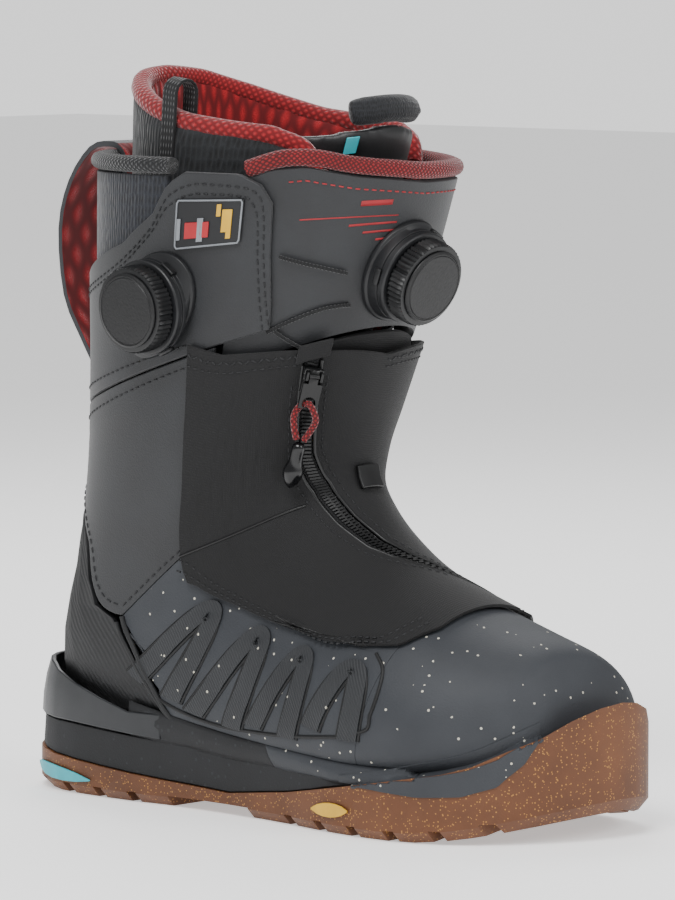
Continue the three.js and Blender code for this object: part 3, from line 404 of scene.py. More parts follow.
# %% [markdown]
# ## Reading a place back off the last
# Cloth patterns must follow the boot, so each piece gets a map: millimetres round the boot
# and up it. The nearest of many sample places on the last is found first, and the rest of
# the way is read along the last's own two directions there.

# %% Cloth map
ROUND_MM, RISE_MM = 1.25, 22.0     # millimetres per degree and per station on the shaft
samples = [(s / 10, a) for s in range(2, 160) for a in range(-180, 180, 4)]
tree_of_last = KDTree(len(samples))
for index, (s, a) in enumerate(samples):
    tree_of_last.insert(on_last(s, a) * MM, index)
tree_of_last.balance()


def read_off(point):
    """(station, degrees, millimetres out) of a place in metres."""
    where, index, _ = tree_of_last.find(point)
    s, a = samples[index]
    away = (point - where) / MM
    per_station = (on_last(s + 0.1, a) - on_last(s - 0.1, a)) * 5
    per_degree = (on_last(s, a + 1) - on_last(s, a - 1)) / 2
    return (s + away.dot(per_station) / per_station.length_squared,
            a + away.dot(per_degree) / max(per_degree.length_squared, 0.01), away.dot(outward(s, a)))


def map_cloth(mesh):
    """Writes the map 'wrap' and returns every vertex's place on the last."""
    places = [read_off(v.co) for v in mesh.vertices]
    layer = mesh.uv_layers.get("wrap") or mesh.uv_layers.new(name="wrap")
    for face in mesh.polygons:
        turns = [places[mesh.loops[i].vertex_index][1] for i in face.loop_indices]
        high = max(turns)
        for i, a in zip(face.loop_indices, turns):
            s = places[mesh.loops[i].vertex_index][0]
            layer.data[i].uv = ((a + 360 if high - a > 180 else a) * ROUND_MM * MM, s * RISE_MM * MM)
    return places


def new_piece(name, mesh, finishes, body="boot", stands_for=(), smooth=True):
    piece = bpy.data.objects.new(name, mesh)
    bpy.context.scene.collection.objects.link(piece)
    mesh.materials.clear()
    for finish in finishes:
        mesh.materials.append(finish)
    if smooth:
        mesh.shade_smooth()
    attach(piece, body)
    if stands_for:
        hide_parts(*stands_for)
    return piece


def round_edges(piece, width_mm, segments=2, angle=40):
    bevel = piece.modifiers.new("rounded edges", "BEVEL")
    bevel.width = width_mm * MM
    bevel.segments = segments
    bevel.limit_method = "ANGLE"
    bevel.angle_limit = math.radians(angle)
    bevel.harden_normals = True
    return bevel


def welded(name):
    """A joined-up copy of a solid part, as a bmesh."""
    bm = bmesh.new()
    bm.from_mesh(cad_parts[name].data)
    bmesh.ops.remove_doubles(bm, verts=bm.verts, dist=1e-5)
    return bm


def to_mesh(bm, name):
    mesh = bpy.data.meshes.new(name)
    bm.to_mesh(mesh)
    bm.free()
    return mesh


print("cloth map from", len(samples), "places")

# %% [markdown]
# ## Panels
# A sewn panel starts as a flat grid. Each vertex is moved to its place on the last, and a
# Solidify modifier gives the sheet its thickness inwards, with its own finish on the
# inside. A small bevel softens the cut edge.

# %% Panel maker
def panel(name, where, outer, thick, columns, rows, finishes, stands_for=(), edge=0.5, body="boot"):
    """where(u, v) gives (station, degrees), outer(u, v) the millimetres out from the last."""
    bm = bmesh.new()
    bmesh.ops.create_grid(bm, x_segments=columns, y_segments=rows, size=0.5)
    for v in bm.verts:
        f, g = v.co.x + 0.5, v.co.y + 0.5
        s, a = where(f, g)
        v.co = off_last(s, a, outer(f, g) if callable(outer) else outer)
    bm.normal_update()
    bm.faces.ensure_lookup_table()
    middle = bm.faces[len(bm.faces) // 2]
    s, a, _ = read_off(middle.calc_center_median())
    if middle.normal.dot(outward(s, a)) < 0:
        bmesh.ops.reverse_faces(bm, faces=bm.faces)
    mesh = to_mesh(bm, name)
    map_cloth(mesh)
    piece = new_piece(name, mesh, finishes, body, stands_for)
    wall = piece.modifiers.new("wall", "SOLIDIFY")
    wall.thickness = thick * MM
    wall.offset = -1
    if len(finishes) > 1:
        wall.material_offset = 1
        wall.material_offset_rim = 2 if len(finishes) > 2 else 0
    round_edges(piece, edge)
    return piece


GAP, WALL = 0.35, 2.4
INNER, UNDER = -WALL - GAP - WALL, -WALL - GAP
COVER, GAITER_WALL = 1.1, 1.4
OVER = COVER + GAITER_WALL
SEAM = 0.012
ZIP_LINE = [(5.2, -26), (5.8, -8), (6.4, 7), (6.9, 14), (7.8, 19), (8.9, 23), (9.8, 30), (10.8, 32),
            (11.7, 34), (12.9, 36)]
GAITER_HEM = [(4.6, 0), (4.6, 30), (4.85, 46), (5.3, 52), (5.8, 58), (6.7, 61), (8, 67), (8.9, 73), (9.3, 78)]
GAITER_TOP = [(11.75, 0), (12, 25), (12.25, 45), (12.5, 68), (12.8, 81)]
GAITER_EDGE = [(8.9, 75), (10.6, 77), (11.5, 79), (12.8, 81)]
CUFF_TOP = [(14.5, 56), (14.85, 61), (15, 68), (15, 86), (14.85, 91), (14.5, 96), (14.2, 109), (13.95, 144), (13.9, 180)]
CUFF_EDGE = [(12.2, 52), (13.1, 54), (13.8, 56), (15, 58)]
COUNTER_EDGE = [(9.6, 96), (10.3, 109), (11, 124), (11.6, 142), (12, 160), (12.4, 177)]
CUFF_SEAM, LOWER_SEAM, COLLAR = 12.65, 9.6, 14.93
FRONT_TOP = [(15, -90), (14.86, -40), (14.82, 0), (14.95, 30), (15.1, 48), (15.05, 60), (14.85, 70)]


def cuff_outer_place(f, g):
    degrees = lerp(57, 179.4, f)
    s = lerp(CUFF_SEAM + SEAM, along(CUFF_TOP, degrees), g)
    return s, lerp(along(CUFF_EDGE, s, 0, 1), 179.4, f)


def cuff_inner_place(f, g):
    degrees = lerp(-179.4, 70, f)
    rear = along(CUFF_TOP, min(-degrees, 180))
    top = along(FRONT_TOP, degrees) if degrees > -88 else rear
    return lerp(CUFF_SEAM + SEAM if degrees < -62 else 12.2, top, g), degrees


def cuff_inner_layer(f, g):
    return lerp(0, UNDER, ease(lerp(-179.4, 70, f), -88, -62))


def quarter_place(side):
    def at(f, g):
        s = lerp(LOWER_SEAM + SEAM, CUFF_SEAM - SEAM, g)
        rear = 179 if s > 12.3 else along(COUNTER_EDGE, s, 0, 1) - 1
        return s, side * lerp(72, min(rear, 179.4), f)
    return at


def gore_place(f, g):
    degrees = lerp(93, 267, f)
    low = along(CUFF_TOP, 360 - degrees if degrees > 180 else degrees) - 0.25
    return lerp(low, COLLAR, g), degrees


def zip_at(s):
    return along(ZIP_LINE, s, 0, 1)


def degrees_for(s, width):
    return width / (on_last(s, zip_at(s) + 1) - on_last(s, zip_at(s))).length


def gaiter_place(side):
    def at(f, g):
        s = 9
        for _ in range(12):
            near = zip_at(s) + side * degrees_for(s, 4.2)
            degrees = lerp(near, side * along(GAITER_EDGE, s, 0, 1), f)
            goal = lerp(along(GAITER_HEM, abs(degrees)), along(GAITER_TOP, abs(degrees)), g)
            s = lerp(s, goal, 0.7)
        return s, degrees
    return at


panel("cuff_outer", cuff_outer_place, 0, WALL, 60, 34, [panel_leather], ["cuff_lateral"], 0.7)
panel("cuff_inner", cuff_inner_place, cuff_inner_layer, WALL, 110, 32, [panel_leather], ["cuff_medial"], 0.6)
print("cuffs made")

# %% More panels
for side, name in ((1, "lateral"), (-1, "medial")):
    panel("quarter_panel_" + name, quarter_place(side), 0, WALL, 34, 24, [panel_leather], ["quarter_" + name],
          0.6)
panel("heel_mesh", gore_place, UNDER - GAP, WALL, 60, 14, [gore_mesh], ["mesh_gore"], 0.5)
under_tongue = panel("instep_panel", lambda f, g: (lerp(5.7, 12.1, g), lerp(-52, 52, f)), UNDER, WALL, 30, 40,
                     [softshell], ["instep_tongue"], 0.6)
gaiters = {}
for side, name, flat, cut in ((1, "lateral", (0.135, 0.15), 0.0105), (-1, "medial", (0.16, 0.15), 0.0155)):
    gaiters[name] = panel("gaiter_cloth_" + name, gaiter_place(side), OVER, GAITER_WALL, 44, 60, [softshell],
                          ["gaiter_" + name], 0.4)
print("panels made")

# %% [markdown]
# ## Toe, side rubber and heel
# The lower is one piece of moulded rubber that wraps the toe and runs back along both
# sides. On the outer side it carries four raised fingers, each an upside-down V with a deep
# groove round it; each groove is drawn as a near-black tube, painted shade. The heel has its
# own ribbed counter.

# %% Rubber lower
TOE_END = 4.9
SKIRT_EDGE = [(9.6, 96), (8.85, 97), (8.3, 106), (7.9, 126), (7.86, 135)]


def toe_place(f, g):
    return lerp(0.06, TOE_END, g), lerp(-180, 180, f)


def wing_place(side):
    def at(f, g):
        low = lerp(135, 74, g)
        s = lerp(TOE_END, along(SKIRT_EDGE, low), f)
        top = max(along(GAITER_HEM, s, 0, 1) - 4, 44 + 5 * (s - TOE_END))
        return s, side * lerp(135, top, g)
    return at


toe = panel("rubber_toe", toe_place, 0, WALL, 72, 40, [toe_rubber], ["rubber_lower"], 0.3)
bm = bmesh.new()
bm.from_mesh(toe.data)
bmesh.ops.remove_doubles(bm, verts=bm.verts, dist=2e-5)
tip = [e for e in bm.edges if e.is_boundary and e.verts[0].co.x > 0.12]
bmesh.ops.contextual_create(bm, geom=tip)
bm.to_mesh(toe.data)
bm.free()
for side, name in ((1, "lateral"), (-1, "medial")):
    panel("rubber_side_" + name, wing_place(side), 0, WALL, 60, 40, [toe_rubber], ["rubber_lower"], 0.4)


def tube(name, points, radius, finishes, body="boot", sides=8, stands_for=(), pitch=None, smooth_path=True):
    """A round line through places in metres, as a mesh with its own map along and round it."""
    line = bpy.data.curves.new(name, "CURVE")
    line.dimensions = "3D"
    line.bevel_depth = radius
    line.bevel_resolution = max(0, sides // 4 - 1)
    line.use_fill_caps = True
    spline = line.splines.new("POLY")
    spline.points.add(len(points) - 1)
    for row, p in zip(spline.points, points):
        row.co = (*p, 1)
    holder = bpy.data.objects.new(name + "_line", line)
    bpy.context.scene.collection.objects.link(holder)
    bpy.context.view_layer.update()
    mesh = bpy.data.meshes.new_from_object(holder.evaluated_get(bpy.context.evaluated_depsgraph_get()))
    bpy.data.objects.remove(holder)
    bpy.data.curves.remove(line)
    mesh.name = name
    length = sum((b - a).length for a, b in zip(points, points[1:]))
    if not mesh.uv_layers:
        mesh.uv_layers.new(name="wrap")
    layer = mesh.uv_layers[0]
    layer.name = "wrap"
    for row in layer.data:
        row.uv = (row.uv[0] * length, row.uv[1] * 2 * math.pi * radius)
    return new_piece(name, mesh, finishes, body, stands_for)


def smooth_line(points, count):
    """`count` places on a Catmull-Rom curve through points."""
    out = []
    for k in range(count):
        t = k / (count - 1) * (len(points) - 1)
        i = min(int(t), len(points) - 2)
        f = t - i
        a, b, c, d = (Vector(points[min(max(j, 0), len(points) - 1)]) for j in (i - 1, i, i + 1, i + 2))
        out.append(0.5 * (2 * b + (c - a) * f + (2 * a - 5 * b + 4 * c - d) * f * f + (3 * b - a - 3 * c + d) * f ** 3))
    return out


def line_on_last(places, layer, count):
    """A smooth line through (station, degrees) places."""
    return [off_last(p[0], p[1], layer) for p in smooth_line([Vector((s, a)) for s, a in places], count)]


def relaxed(points, rounds=40):
    """The same line with its tight kinks eased out."""
    for _ in range(rounds):
        points = [points[0]] + [(a + 2 * b + c) / 4 for a, b, c in zip(points, points[1:], points[2:])] + [points[-1]]
    return points


#          middle, top and bottom of each finger, as stations and degrees
FINGERS = [(8.38, 73, 103), (7.34, 69, 107), (6.36, 65.5, 100), (5.36, 61, 91)]


def finger_place(middle, top, bottom):
    path = smooth_line([Vector((middle + 0.32, bottom)), Vector((middle + 0.24, (top + bottom) / 2 + 2)),
                        Vector((middle + 0.1, top + 3.4)), Vector((middle - 0.12, top + 2)),
                        Vector((middle - 0.27, (top + bottom) / 2)), Vector((middle - 0.32, bottom + 1))], 41)

    def at(f, g):
        i = min(int(f * 40), 39)
        here = path[i].lerp(path[i + 1], f * 40 - i)
        way = Vector(((path[i + 1].x - path[i].x) * 22, path[i + 1].y - path[i].y)).normalized()
        across = (g - 0.5) * 6.6
        return here.x + way.y * across / 22, here.y - way.x * across
    return at


# The grooves round the fingers are not cut: near-black tubes laid along them are painted shade.
groove_shade_finish = moulded_plastic("painted_groove_shade", "#0c0d0f", "#08090a", 0.6)
for number, (middle, top, bottom) in enumerate(FINGERS):
    at = finger_place(middle, top, bottom)
    panel(f"finger_{number}", at, 0.9, 1.1, 80, 6, [toe_ribbed], edge=0.35)
    for side, share in (("a", -0.07), ("b", 1.07)):
        tube(f"finger_line_{number}_{side}", relaxed([off_last(*at(k / 60, share), 0.15) for k in range(61)]), 0.75 * MM, [groove_shade_finish])
tube("finger_base_groove_shade", line_on_last([(8.6, 101), (8.18, 108), (7.66, 110.5), (7.2, 110), (6.7, 105.5), (6.1, 100),
                                       (5.42, 93), (4.82, 88.5), (4.78, 80), (4.78, 71), (4.84, 62), (4.94, 57), (5.14, 53)], 0.1, 120),
     0.8 * MM, [groove_shade_finish])
print("rubber lower with", len(FINGERS), "fingers")

# %% [markdown]
# ## Sole edge
# Between the rubber lower and the gum outsole runs the dark foam midsole. A thin skirt
# carries the lower's side straight down to it, as the moulded edge does on a real boot.

# %% Skirt between the lower and the midsole
OUTER_EDGE = [(-124, -38.5), (-85, -44.2), (-40, -43), (10, -48), (50, -56), (85, -56.6), (108, -49)]
INNER_EDGE = [(-124, 37.5), (-85, 43), (-40, 41), (20, 45), (72, 58), (104, 57)]
MID_TOP = [(-152, 31), (-110, 30.5), (-60, 27.3), (-18, 24.8), (20, 23.3), (57, 22.3), (90, 22.6), (112, 23.6)]


def skirt_mesh(name, edge, side, ends, finish):
    bm = bmesh.new()
    bmesh.ops.create_grid(bm, x_segments=60, y_segments=6, size=0.5)
    for v in bm.verts:
        f, g = v.co.x + 0.5, v.co.y + 0.5
        x = lerp(*ends, f)
        i = max(k for k, row in enumerate(edge[:-1]) if row[0] <= x or k == 0)
        rows = [edge[min(max(k, 0), len(edge) - 1)] for k in (i - 1, i, i + 1, i + 2)]
        t = (x - rows[1][0]) / (rows[2][0] - rows[1][0])
        y = lerp(rows[1][1], rows[2][1], t)
        low = Vector((x, y - side * -0.9, along(MID_TOP, x, 0, 1) - 1.2)) + ORIGIN
        s = lerp(8.6, 4.2, (x + 74) / 174)
        high = on_last(s, side * 118) + outward(s, side * 118) * 0.25
        bulge = math.sin(g * math.pi) * 1.2
        v.co = (low.lerp(high, g) + Vector((0, -side * bulge, 0))) * MM
    bm.normal_update()
    bm.faces.ensure_lookup_table()
    if bm.faces[0].normal.y * -side < 0:
        bmesh.ops.reverse_faces(bm, faces=bm.faces)
    mesh = to_mesh(bm, name)
    map_cloth(mesh)
    piece = new_piece(name, mesh, [finish])
    wall = piece.modifiers.new("wall", "SOLIDIFY")
    wall.thickness = 1.2 * MM
    wall.offset = -1
    return piece


skirts = {}
for side, name, edge in ((1, "outer", OUTER_EDGE), (-1, "inner", INNER_EDGE)):
    skirt_mesh("sole_skirt_" + name, edge, side, (-74 if side > 0 else -112, 12), midsole_foam)
    skirts[side] = skirt_mesh("rubber_skirt_" + name, edge, side, (12, 100), toe_rubber)
    for number, (angle_shift, radius) in enumerate(((-0.9, 1.25), (1.2, 1.0))):
        tube(f"heel_seam_{name}_{number}", [off_last(p[0], side * (p[1] + angle_shift), 0.2) for p in
                                            smooth_line([Vector(row) for row in SKIRT_EDGE], 40)], radius * MM, [counter_rubber])


def fringe_mesh(name, side, reach, low_line, high_line, finish):
    """A thin rubber edge draped over the outsole's wall and the lower between two lines."""
    under = bmesh.new()
    for cover in (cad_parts["outsole"], toe, skirts[side]):
        under.from_mesh(cover.data)
    tree = BVHTree.FromBMesh(under)
    under.free()
    bm = bmesh.new()
    bmesh.ops.create_grid(bm, x_segments=70, y_segments=10, size=0.5)
    for v in bm.verts:
        f, g = v.co.x + 0.5, v.co.y + 0.5
        x, z = lerp(*reach, f), 18
        lean = ease(x, 60, 118) * 0.9
        way = Vector((-math.sin(lean), side * math.cos(lean), 0))
        for _ in range(2):
            aim = (Vector((x, 0, z)) + ORIGIN) * MM
            hit = tree.ray_cast(aim - way * 0.11, way)[0] or tree.find_nearest(aim - way * 0.05)[0]
            here = hit.x / MM - ORIGIN.x
            z = lerp(along(low_line, here, 0, 1), along(high_line, here, 0, 1), g)
        v.co = hit - way * (0.55 * MM)
    bm.normal_update()
    bm.faces.ensure_lookup_table()
    if bm.faces[0].normal.y * -side < 0:
        bmesh.ops.reverse_faces(bm, faces=bm.faces)
    mesh = to_mesh(bm, name)
    map_cloth(mesh)
    piece = new_piece(name, mesh, [finish])
    wall = piece.modifiers.new("wall", "SOLIDIFY")
    wall.thickness = 1.0 * MM
    wall.offset = -1
    round_edges(piece, 0.3)
    return piece


FRINGE_LOW = [(56, 21.4), (75, 20.4), (95, 19), (112, 20), (123, 24), (130, 33), (134, 43), (138, 47)]
FRINGE_HIGH = [(56, 24.5), (72, 27.5), (88, 30.5), (104, 34), (116, 38), (124, 42.5), (131, 47), (135, 49.5), (138, 50.5)]
for side, name, front in ((1, "outer", 108), (-1, "inner", 97)):
    fringe_mesh("toe_fringe_" + name, side, (54, front), FRINGE_LOW, FRINGE_HIGH, toe_rubber)
print("skirts made")

# %% [markdown]
# ## Solid parts that keep their shape
# The sole, counter, clip and small plastic parts are right as they are. A joined-up copy of
# each takes a small bevel, because a moulded edge is never razor sharp and catches light.

# %% Moulded copies
def moulded(node_name, piece_name, finish, edge, body="boot", levels=0, angle=32):
    bm = welded(node_name)
    bmesh.ops.join_triangles(bm, faces=bm.faces, angle_face_threshold=0.35, angle_shape_threshold=0.9)
    mesh = to_mesh(bm, piece_name)
    map_cloth(mesh)
    piece = new_piece(piece_name, mesh, [finish], body, [node_name])
    mesh.set_sharp_from_angle(angle=math.radians(38))
    if levels:
        rounder = piece.modifiers.new("rounder", "SUBSURF")
        rounder.levels = rounder.render_levels = levels
    elif edge:
        round_edges(piece, edge, 2, angle)
    return piece


moulded("outsole", "sole_rubber", gum_rubber, 0.5)
moulded("midsole", "sole_foam", midsole_foam, 0.6)
moulded("heel_counter", "heel_cup", counter_rubber, 0.6)
moulded("heel_clip", "heel_band", clip_plastic, 0.7)
moulded("heel_insert", "heel_leaf", turquoise, 0.3)
moulded("sole_badge", "sole_lozenge", yellow, 0.3)
moulded("gaiter_hook", "lace_hook", zip_plastic, 0.6)
moulded("zip_garage", "zip_hood", softshell, 0.6)
moulded("lace_guide_lateral", "guide_lateral", guide_plastic, 0.4)
moulded("lace_guide_medial", "guide_medial", guide_plastic, 0.4)
moulded("lasting_board", "insole_board", midsole_foam, 0.3)
moulded("footbed", "foot_bed", liner_mesh, 1.0)
moulded("zip_slider", "slider_body", zip_plastic, 0.4, "slider")
moulded("zip_tab", "slider_tab", zip_plastic, 0.25, "zip_pull")
moulded("liner_tag", "tongue_tag", turquoise, 0.3)
print("moulded parts done")

# %% [markdown]
# ## Lacing dials
# Each dial is a base with a stepped ring, a grip with moulded ribs for gloved fingers, and
# a cap. The grip is turned from a profile, then every second rib is pulled in.

# %% Dials
def stand_on(s, degrees, out):
    z = outward(s, degrees)
    rise = (off_last(s + 0.1, degrees, 0) - off_last(s - 0.1, degrees, 0)).normalized()
    x = rise.cross(z).normalized()
    y = z.cross(x)
    stand = Matrix((x, y, z)).transposed().to_4x4()
    stand.translation = off_last(s, degrees, out)
    return stand


def turned(name, profile, stand, finishes, steps=96, body="boot", stands_for=(), shape=None, edge=0.25):
    bm = bmesh.new()
    verts = [bm.verts.new((r * MM, 0, z * MM)) for r, z in profile]
    edges = [bm.edges.new(pair) for pair in zip(verts, verts[1:])]
    bmesh.ops.spin(bm, geom=verts + edges, cent=(0, 0, 0), axis=(0, 0, 1), dvec=(0, 0, 0), angle=2 * math.pi,
                   steps=steps, use_merge=True, use_duplicate=False)
    bmesh.ops.remove_doubles(bm, verts=bm.verts, dist=2e-6)
    bmesh.ops.recalc_face_normals(bm, faces=bm.faces)
    if shape:
        for v in bm.verts:
            v.co = shape(v.co / MM) * MM
    bm.transform(stand)
    mesh = to_mesh(bm, name)
    map_cloth(mesh)
    piece = new_piece(name, mesh, finishes, body, stands_for)
    mesh.set_sharp_from_angle(angle=math.radians(35))
    if edge:
        round_edges(piece, edge, 2, 35)
    return piece


def ribbed_grip(p):
    round_mm, turn_at = math.hypot(p.x, p.y), math.atan2(p.y, p.x)
    if round_mm < 16.2 or p.z > 16.6:
        return p
    rib = 0.5 + 0.5 * math.cos(turn_at * 54)
    lobe = 0.35 if math.cos(turn_at * 9) > 0.93 else 0
    pull = 1 - (0.75 * rib + lobe) / round_mm
    return Vector((p.x * pull, p.y * pull, p.z))


FLANGE, GRIP, FACE = 22, 18, 17.2
PLATE = FACE - 2.5


def dial(name, s, degrees, layer):
    stand = stand_on(s, degrees, layer)
    round_step = (on_last(s, degrees + 1) - on_last(s, degrees)).length
    rise_step = (on_last(s + 0.5, degrees) - on_last(s - 0.5, degrees)).length
    to_stand = stand.inverted()

    def sewn(p):
        bent = min(max((math.hypot(p.x, p.y) - 12) / 7, 0), 1) * (1 if p.z < 3 else 0)
        lying = to_stand @ off_last(s + p.y / rise_step, degrees - p.x / round_step, layer + p.z) / MM
        return p.lerp(lying, bent)

    turned(f"{name}_dial_ring", [(0, 0.4), (12, 0.4), (FLANGE, 0.35), (FLANGE + 0.1, 1.2), (FLANGE - 0.4, 2.3), (20.6, 2.7), (19.7, 3.4),
                                 (19.6, 5.2), (18.9, 5.4), (18.9, 6.0), (19.6, 6.2), (19.6, 8.3), (19.1, 8.9), (18.4, 9), (11.25, 9),
                                 (11.25, 1.5), (2.2, 1.5), (2.2, 8.2), (0, 8.2)],
           stand, [dial_base_nylon], 96, "boot", [f"{name}_dial_base"], sewn, 0.2)
    turned(f"{name}_dial_grip", [(3.15, PLATE), (15.4, PLATE), (15.4, 9.5), (17.6, 9.5), (18, 9.9), (18, 11), (18, 12.5), (18, 14), (18, 15.4),
                                 (17.7, 16.5), (17.2, 17), (16.4, FACE), (3.15, FACE), (3.15, PLATE)],
           stand, [dial_nylon], 216, f"{name}_grip", [f"{name}_dial_knob"], ribbed_grip, 0)
    turned(f"{name}_dial_lid", [(0, FACE + 0.35), (15.2, FACE + 0.35), (15.4, 17.8), (15.3, 18.3), (14.7, 18.7), (14.4, 18.8), (14.2, 18.55),
                                (13.8, 18.5), (13.4, 18.85), (0, 19.2)],
           stand, [dial_cap_finish], 72, f"{name}_grip", [f"{name}_dial_cap"], None, 0)
    moulded(f"{name}_dial_bushing", f"{name}_dial_core", dial_nylon, 0.2, f"{name}_carriage")
    moulded(f"{name}_dial_spool", f"{name}_dial_reel", dial_base_nylon, 0.2, f"{name}_spool")
    for k in range(3):
        turn_at = math.radians(90 + 120 * k)
        bm = bmesh.new()
        bmesh.ops.create_cube(bm, size=1)
        bmesh.ops.scale(bm, vec=Vector((7, 1.6, 3)) * MM, verts=bm.verts)
        bmesh.ops.bevel(bm, geom=bm.edges, offset=0.4 * MM, segments=2, profile=0.5, affect="EDGES", material=-1)
        bmesh.ops.translate(bm, vec=Vector((0, 19.9, 4.6)) * MM, verts=bm.verts)
        bmesh.ops.rotate(bm, cent=(0, 0, 0), matrix=Matrix.Rotation(turn_at, 3, "Z"), verts=bm.verts)
        bm.transform(stand)
        mesh = to_mesh(bm, f"{name}_dial_catch_{k}")
        map_cloth(mesh)
        new_piece(f"{name}_dial_catch_{k}", mesh, [dial_nylon])


dial("side", 13.42, 93, 0)
dial("front", 13.25, 1, UNDER)
print("dials made")

# %% [markdown]
# ## Rolled bindings
# The collar and the front panel end in a soft rope wrapped in knit. Each is a round line
# along the panel's edge, and the knit's ribs run slantwise round it.

# %% Ropes
MIDDLE = (INNER + UNDER) / 2


def on_edge(s, degrees, size):
    return off_last(s, degrees, MIDDLE) + Vector((0, 0, (2 * GAP + size / 2) * MM))


collar_line = smooth_line([on_edge(COLLAR, lerp(92, 268, k / 16), 7) for k in range(17)], 120)
tube("collar_rope", collar_line, 3.5 * MM, [rope_knit], sides=24, stands_for=["collar_binding"])
front_line = smooth_line([on_edge(along(FRONT_TOP, lerp(-84, 67, k / 14)), lerp(-84, 67, k / 14), 7.2) for k in range(15)], 110)
tube("front_rope", front_line, 3.6 * MM, [red_knit], sides=24, stands_for=["front_binding"])
for name, route, sides in (("upper", [(13.35, 27.5), (13.5, 37), (13.65, 46), (13.78, 53)], 12),
                           ("lower", [(12.6, 51), (12.2, 40), (11.6, 20), (11, 0), (10.6, -25), (10.4, -56)], 12),
                           ("instep", [(10.2, 56), (9.6, 30), (9, 0), (8.5, -25), (8.2, -50)], 12)):
    tube(f"{name}_lace", line_on_last(route, UNDER + 3 * GAP + 0.8, 60), 0.8 * MM, [lace_braid], sides=sides,
         stands_for=[f"lace_{name}"])
tube("front_lace_b", line_on_last([(12.75, 23), (12.78, 34), (12.7, 46), (12.62, 54)], UNDER + 1.2, 40), 0.8 * MM, [lace_braid], sides=12)
print("ropes and laces made")

# %% [markdown]
# ## Rear pull strap
# A leather strap bows off the heel as a grab handle. It is leather outside, red inside.
# On the real boot both edges are bound in grey webbing; here only the places along one edge
# are gathered and counted.

# %% Rear strap
bm = welded("rear_strap")
strap = to_mesh(bm, "pull_strap")
map_cloth(strap)
strap_low, strap_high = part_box("rear_strap")
middle_y = (strap_low.y + strap_high.y) / 2
pull_strap = new_piece("pull_strap", strap, [strap_leather, red_fleece], "boot", ["rear_strap"])
strap.set_sharp_from_angle(angle=math.radians(50))
for face in strap.polygons:
    if face.normal.x > 0.35 or (face.center.z > 0.262 and face.normal.z < -0.3):
        face.material_index = 1
round_edges(pull_strap, 0.6)
edge_places = sorted({(round(v.co.x, 5), round(v.co.z, 5)) for v in strap.vertices if v.co.y > middle_y},
                     key=lambda p: -p[1])
print("strap edge has", len(edge_places), "places")

# %% [markdown]
# ## Liner
# The liner is thick foam faced with spacer mesh and lined with quilted fleece. A copy of
# the solid is remeshed to an even skin, then a short cloth run with a little air inside
# makes the walls swell between their edges, and the fleece side gets its own finish.

# %% Padded pieces
def soften(name, nodes, voxel, cap, finishes, body="boot", inner_from=None, rounds=4):
    bm = bmesh.new()
    for part in nodes:
        bm.from_mesh(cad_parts[part].data)
    bmesh.ops.remove_doubles(bm, verts=bm.verts, dist=1e-5)
    mesh = to_mesh(bm, name)
    piece = new_piece(name, mesh, finishes, body, nodes)
    even = piece.modifiers.new("even skin", "REMESH")
    even.mode = "VOXEL"
    even.voxel_size = voxel * MM
    bpy.context.view_layer.objects.active = piece
    bpy.context.view_layer.update()
    made = bpy.data.meshes.new_from_object(piece.evaluated_get(bpy.context.evaluated_depsgraph_get()))
    piece.modifiers.clear()
    piece.data = made
    if cap:
        rest = [v.co.copy() for v in made.vertices]
        cloth = piece.modifiers.new("foam", "CLOTH")
        cloth.settings.use_pressure = True
        cloth.settings.uniform_pressure_force = 4
        cloth.settings.effector_weights.gravity = 0
        cloth.settings.tension_stiffness = 30
        scene = bpy.context.scene
        for step in range(1, 16):
            scene.frame_set(step)
        blown = bpy.data.meshes.new_from_object(piece.evaluated_get(bpy.context.evaluated_depsgraph_get()))
        piece.modifiers.clear()
        scene.frame_set(1)
        for v, start in zip(made.vertices, rest):
            move = blown.vertices[v.index].co - start
            v.co = start + move * min(1, cap * MM / max(move.length, 1e-9))
    bm = bmesh.new()
    bm.from_mesh(made)
    for _ in range(rounds):
        bmesh.ops.smooth_vert(bm, verts=bm.verts, factor=0.5, use_axis_x=True, use_axis_y=True, use_axis_z=True)
    bm.to_mesh(made)
    bm.free()
    made.name = name
    places = map_cloth(made)
    made.materials.clear()
    for finish in finishes:
        made.materials.append(finish)
    if inner_from is not None:
        for face in made.polygons:
            s, a, out = places[face.vertices[0]]
            if inner_from(s, a, out):
                face.material_index = 1
    made.shade_smooth()
    finer = piece.modifiers.new("finer", "SUBSURF")
    finer.levels = finer.render_levels = 1
    return piece


def liner_outer(s, degrees):
    room = lerp(5, 12, ease(s, 11, 15.2))
    return INNER - room


LINER_TOP = [(14.9, 44), (15.3, 55), (15.45, 68), (15.5, 100), (15.65, 130), (15.75, 155), (15.78, 180)]
liner_nodes = [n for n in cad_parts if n.startswith("liner_") and n[6:] in ("body", "foot", "cuff")]
soften("liner_padding", liner_nodes, 2.6, 2.5, [liner_mesh, red_fleece],
       inner_from=lambda s, a, out: out < liner_outer(s, a) - 3.6 and s > 8)
rim_places = [off_last(along(LINER_TOP, a if a <= 180 else 360 - a) - 0.03, a,
                       liner_outer(15.4, a) - 3.9) for a in [lerp(45, 315, k / 60) for k in range(61)]]
rim_line = smooth_line(rim_places, 180)
tube("liner_rim", rim_line, 4.3 * MM, [edge_fleece], sides=20)
for side in (1, -1):
    edge = [off_last(lerp(12.4, 14.9, k / 12), side * 44.5, liner_outer(lerp(12.4, 14.9, k / 12), 44) - 3.8) for k in range(13)]
    tube("liner_front_edge_" + ("outer" if side > 0 else "inner"), smooth_line(edge, 60), 4.0 * MM, [edge_fleece], sides=20)
soften("tongue_padding", ["liner_tongue"], 2.2, 1.5, [tongue_leather, red_fleece],
       inner_from=lambda s, a, out: out < liner_outer(s, a) - 7.5 - 0.8 - 3.0)
soften("tongue_roll", ["tongue_pad"], 1.8, 0.8, [pad_mesh])
print("liner made")

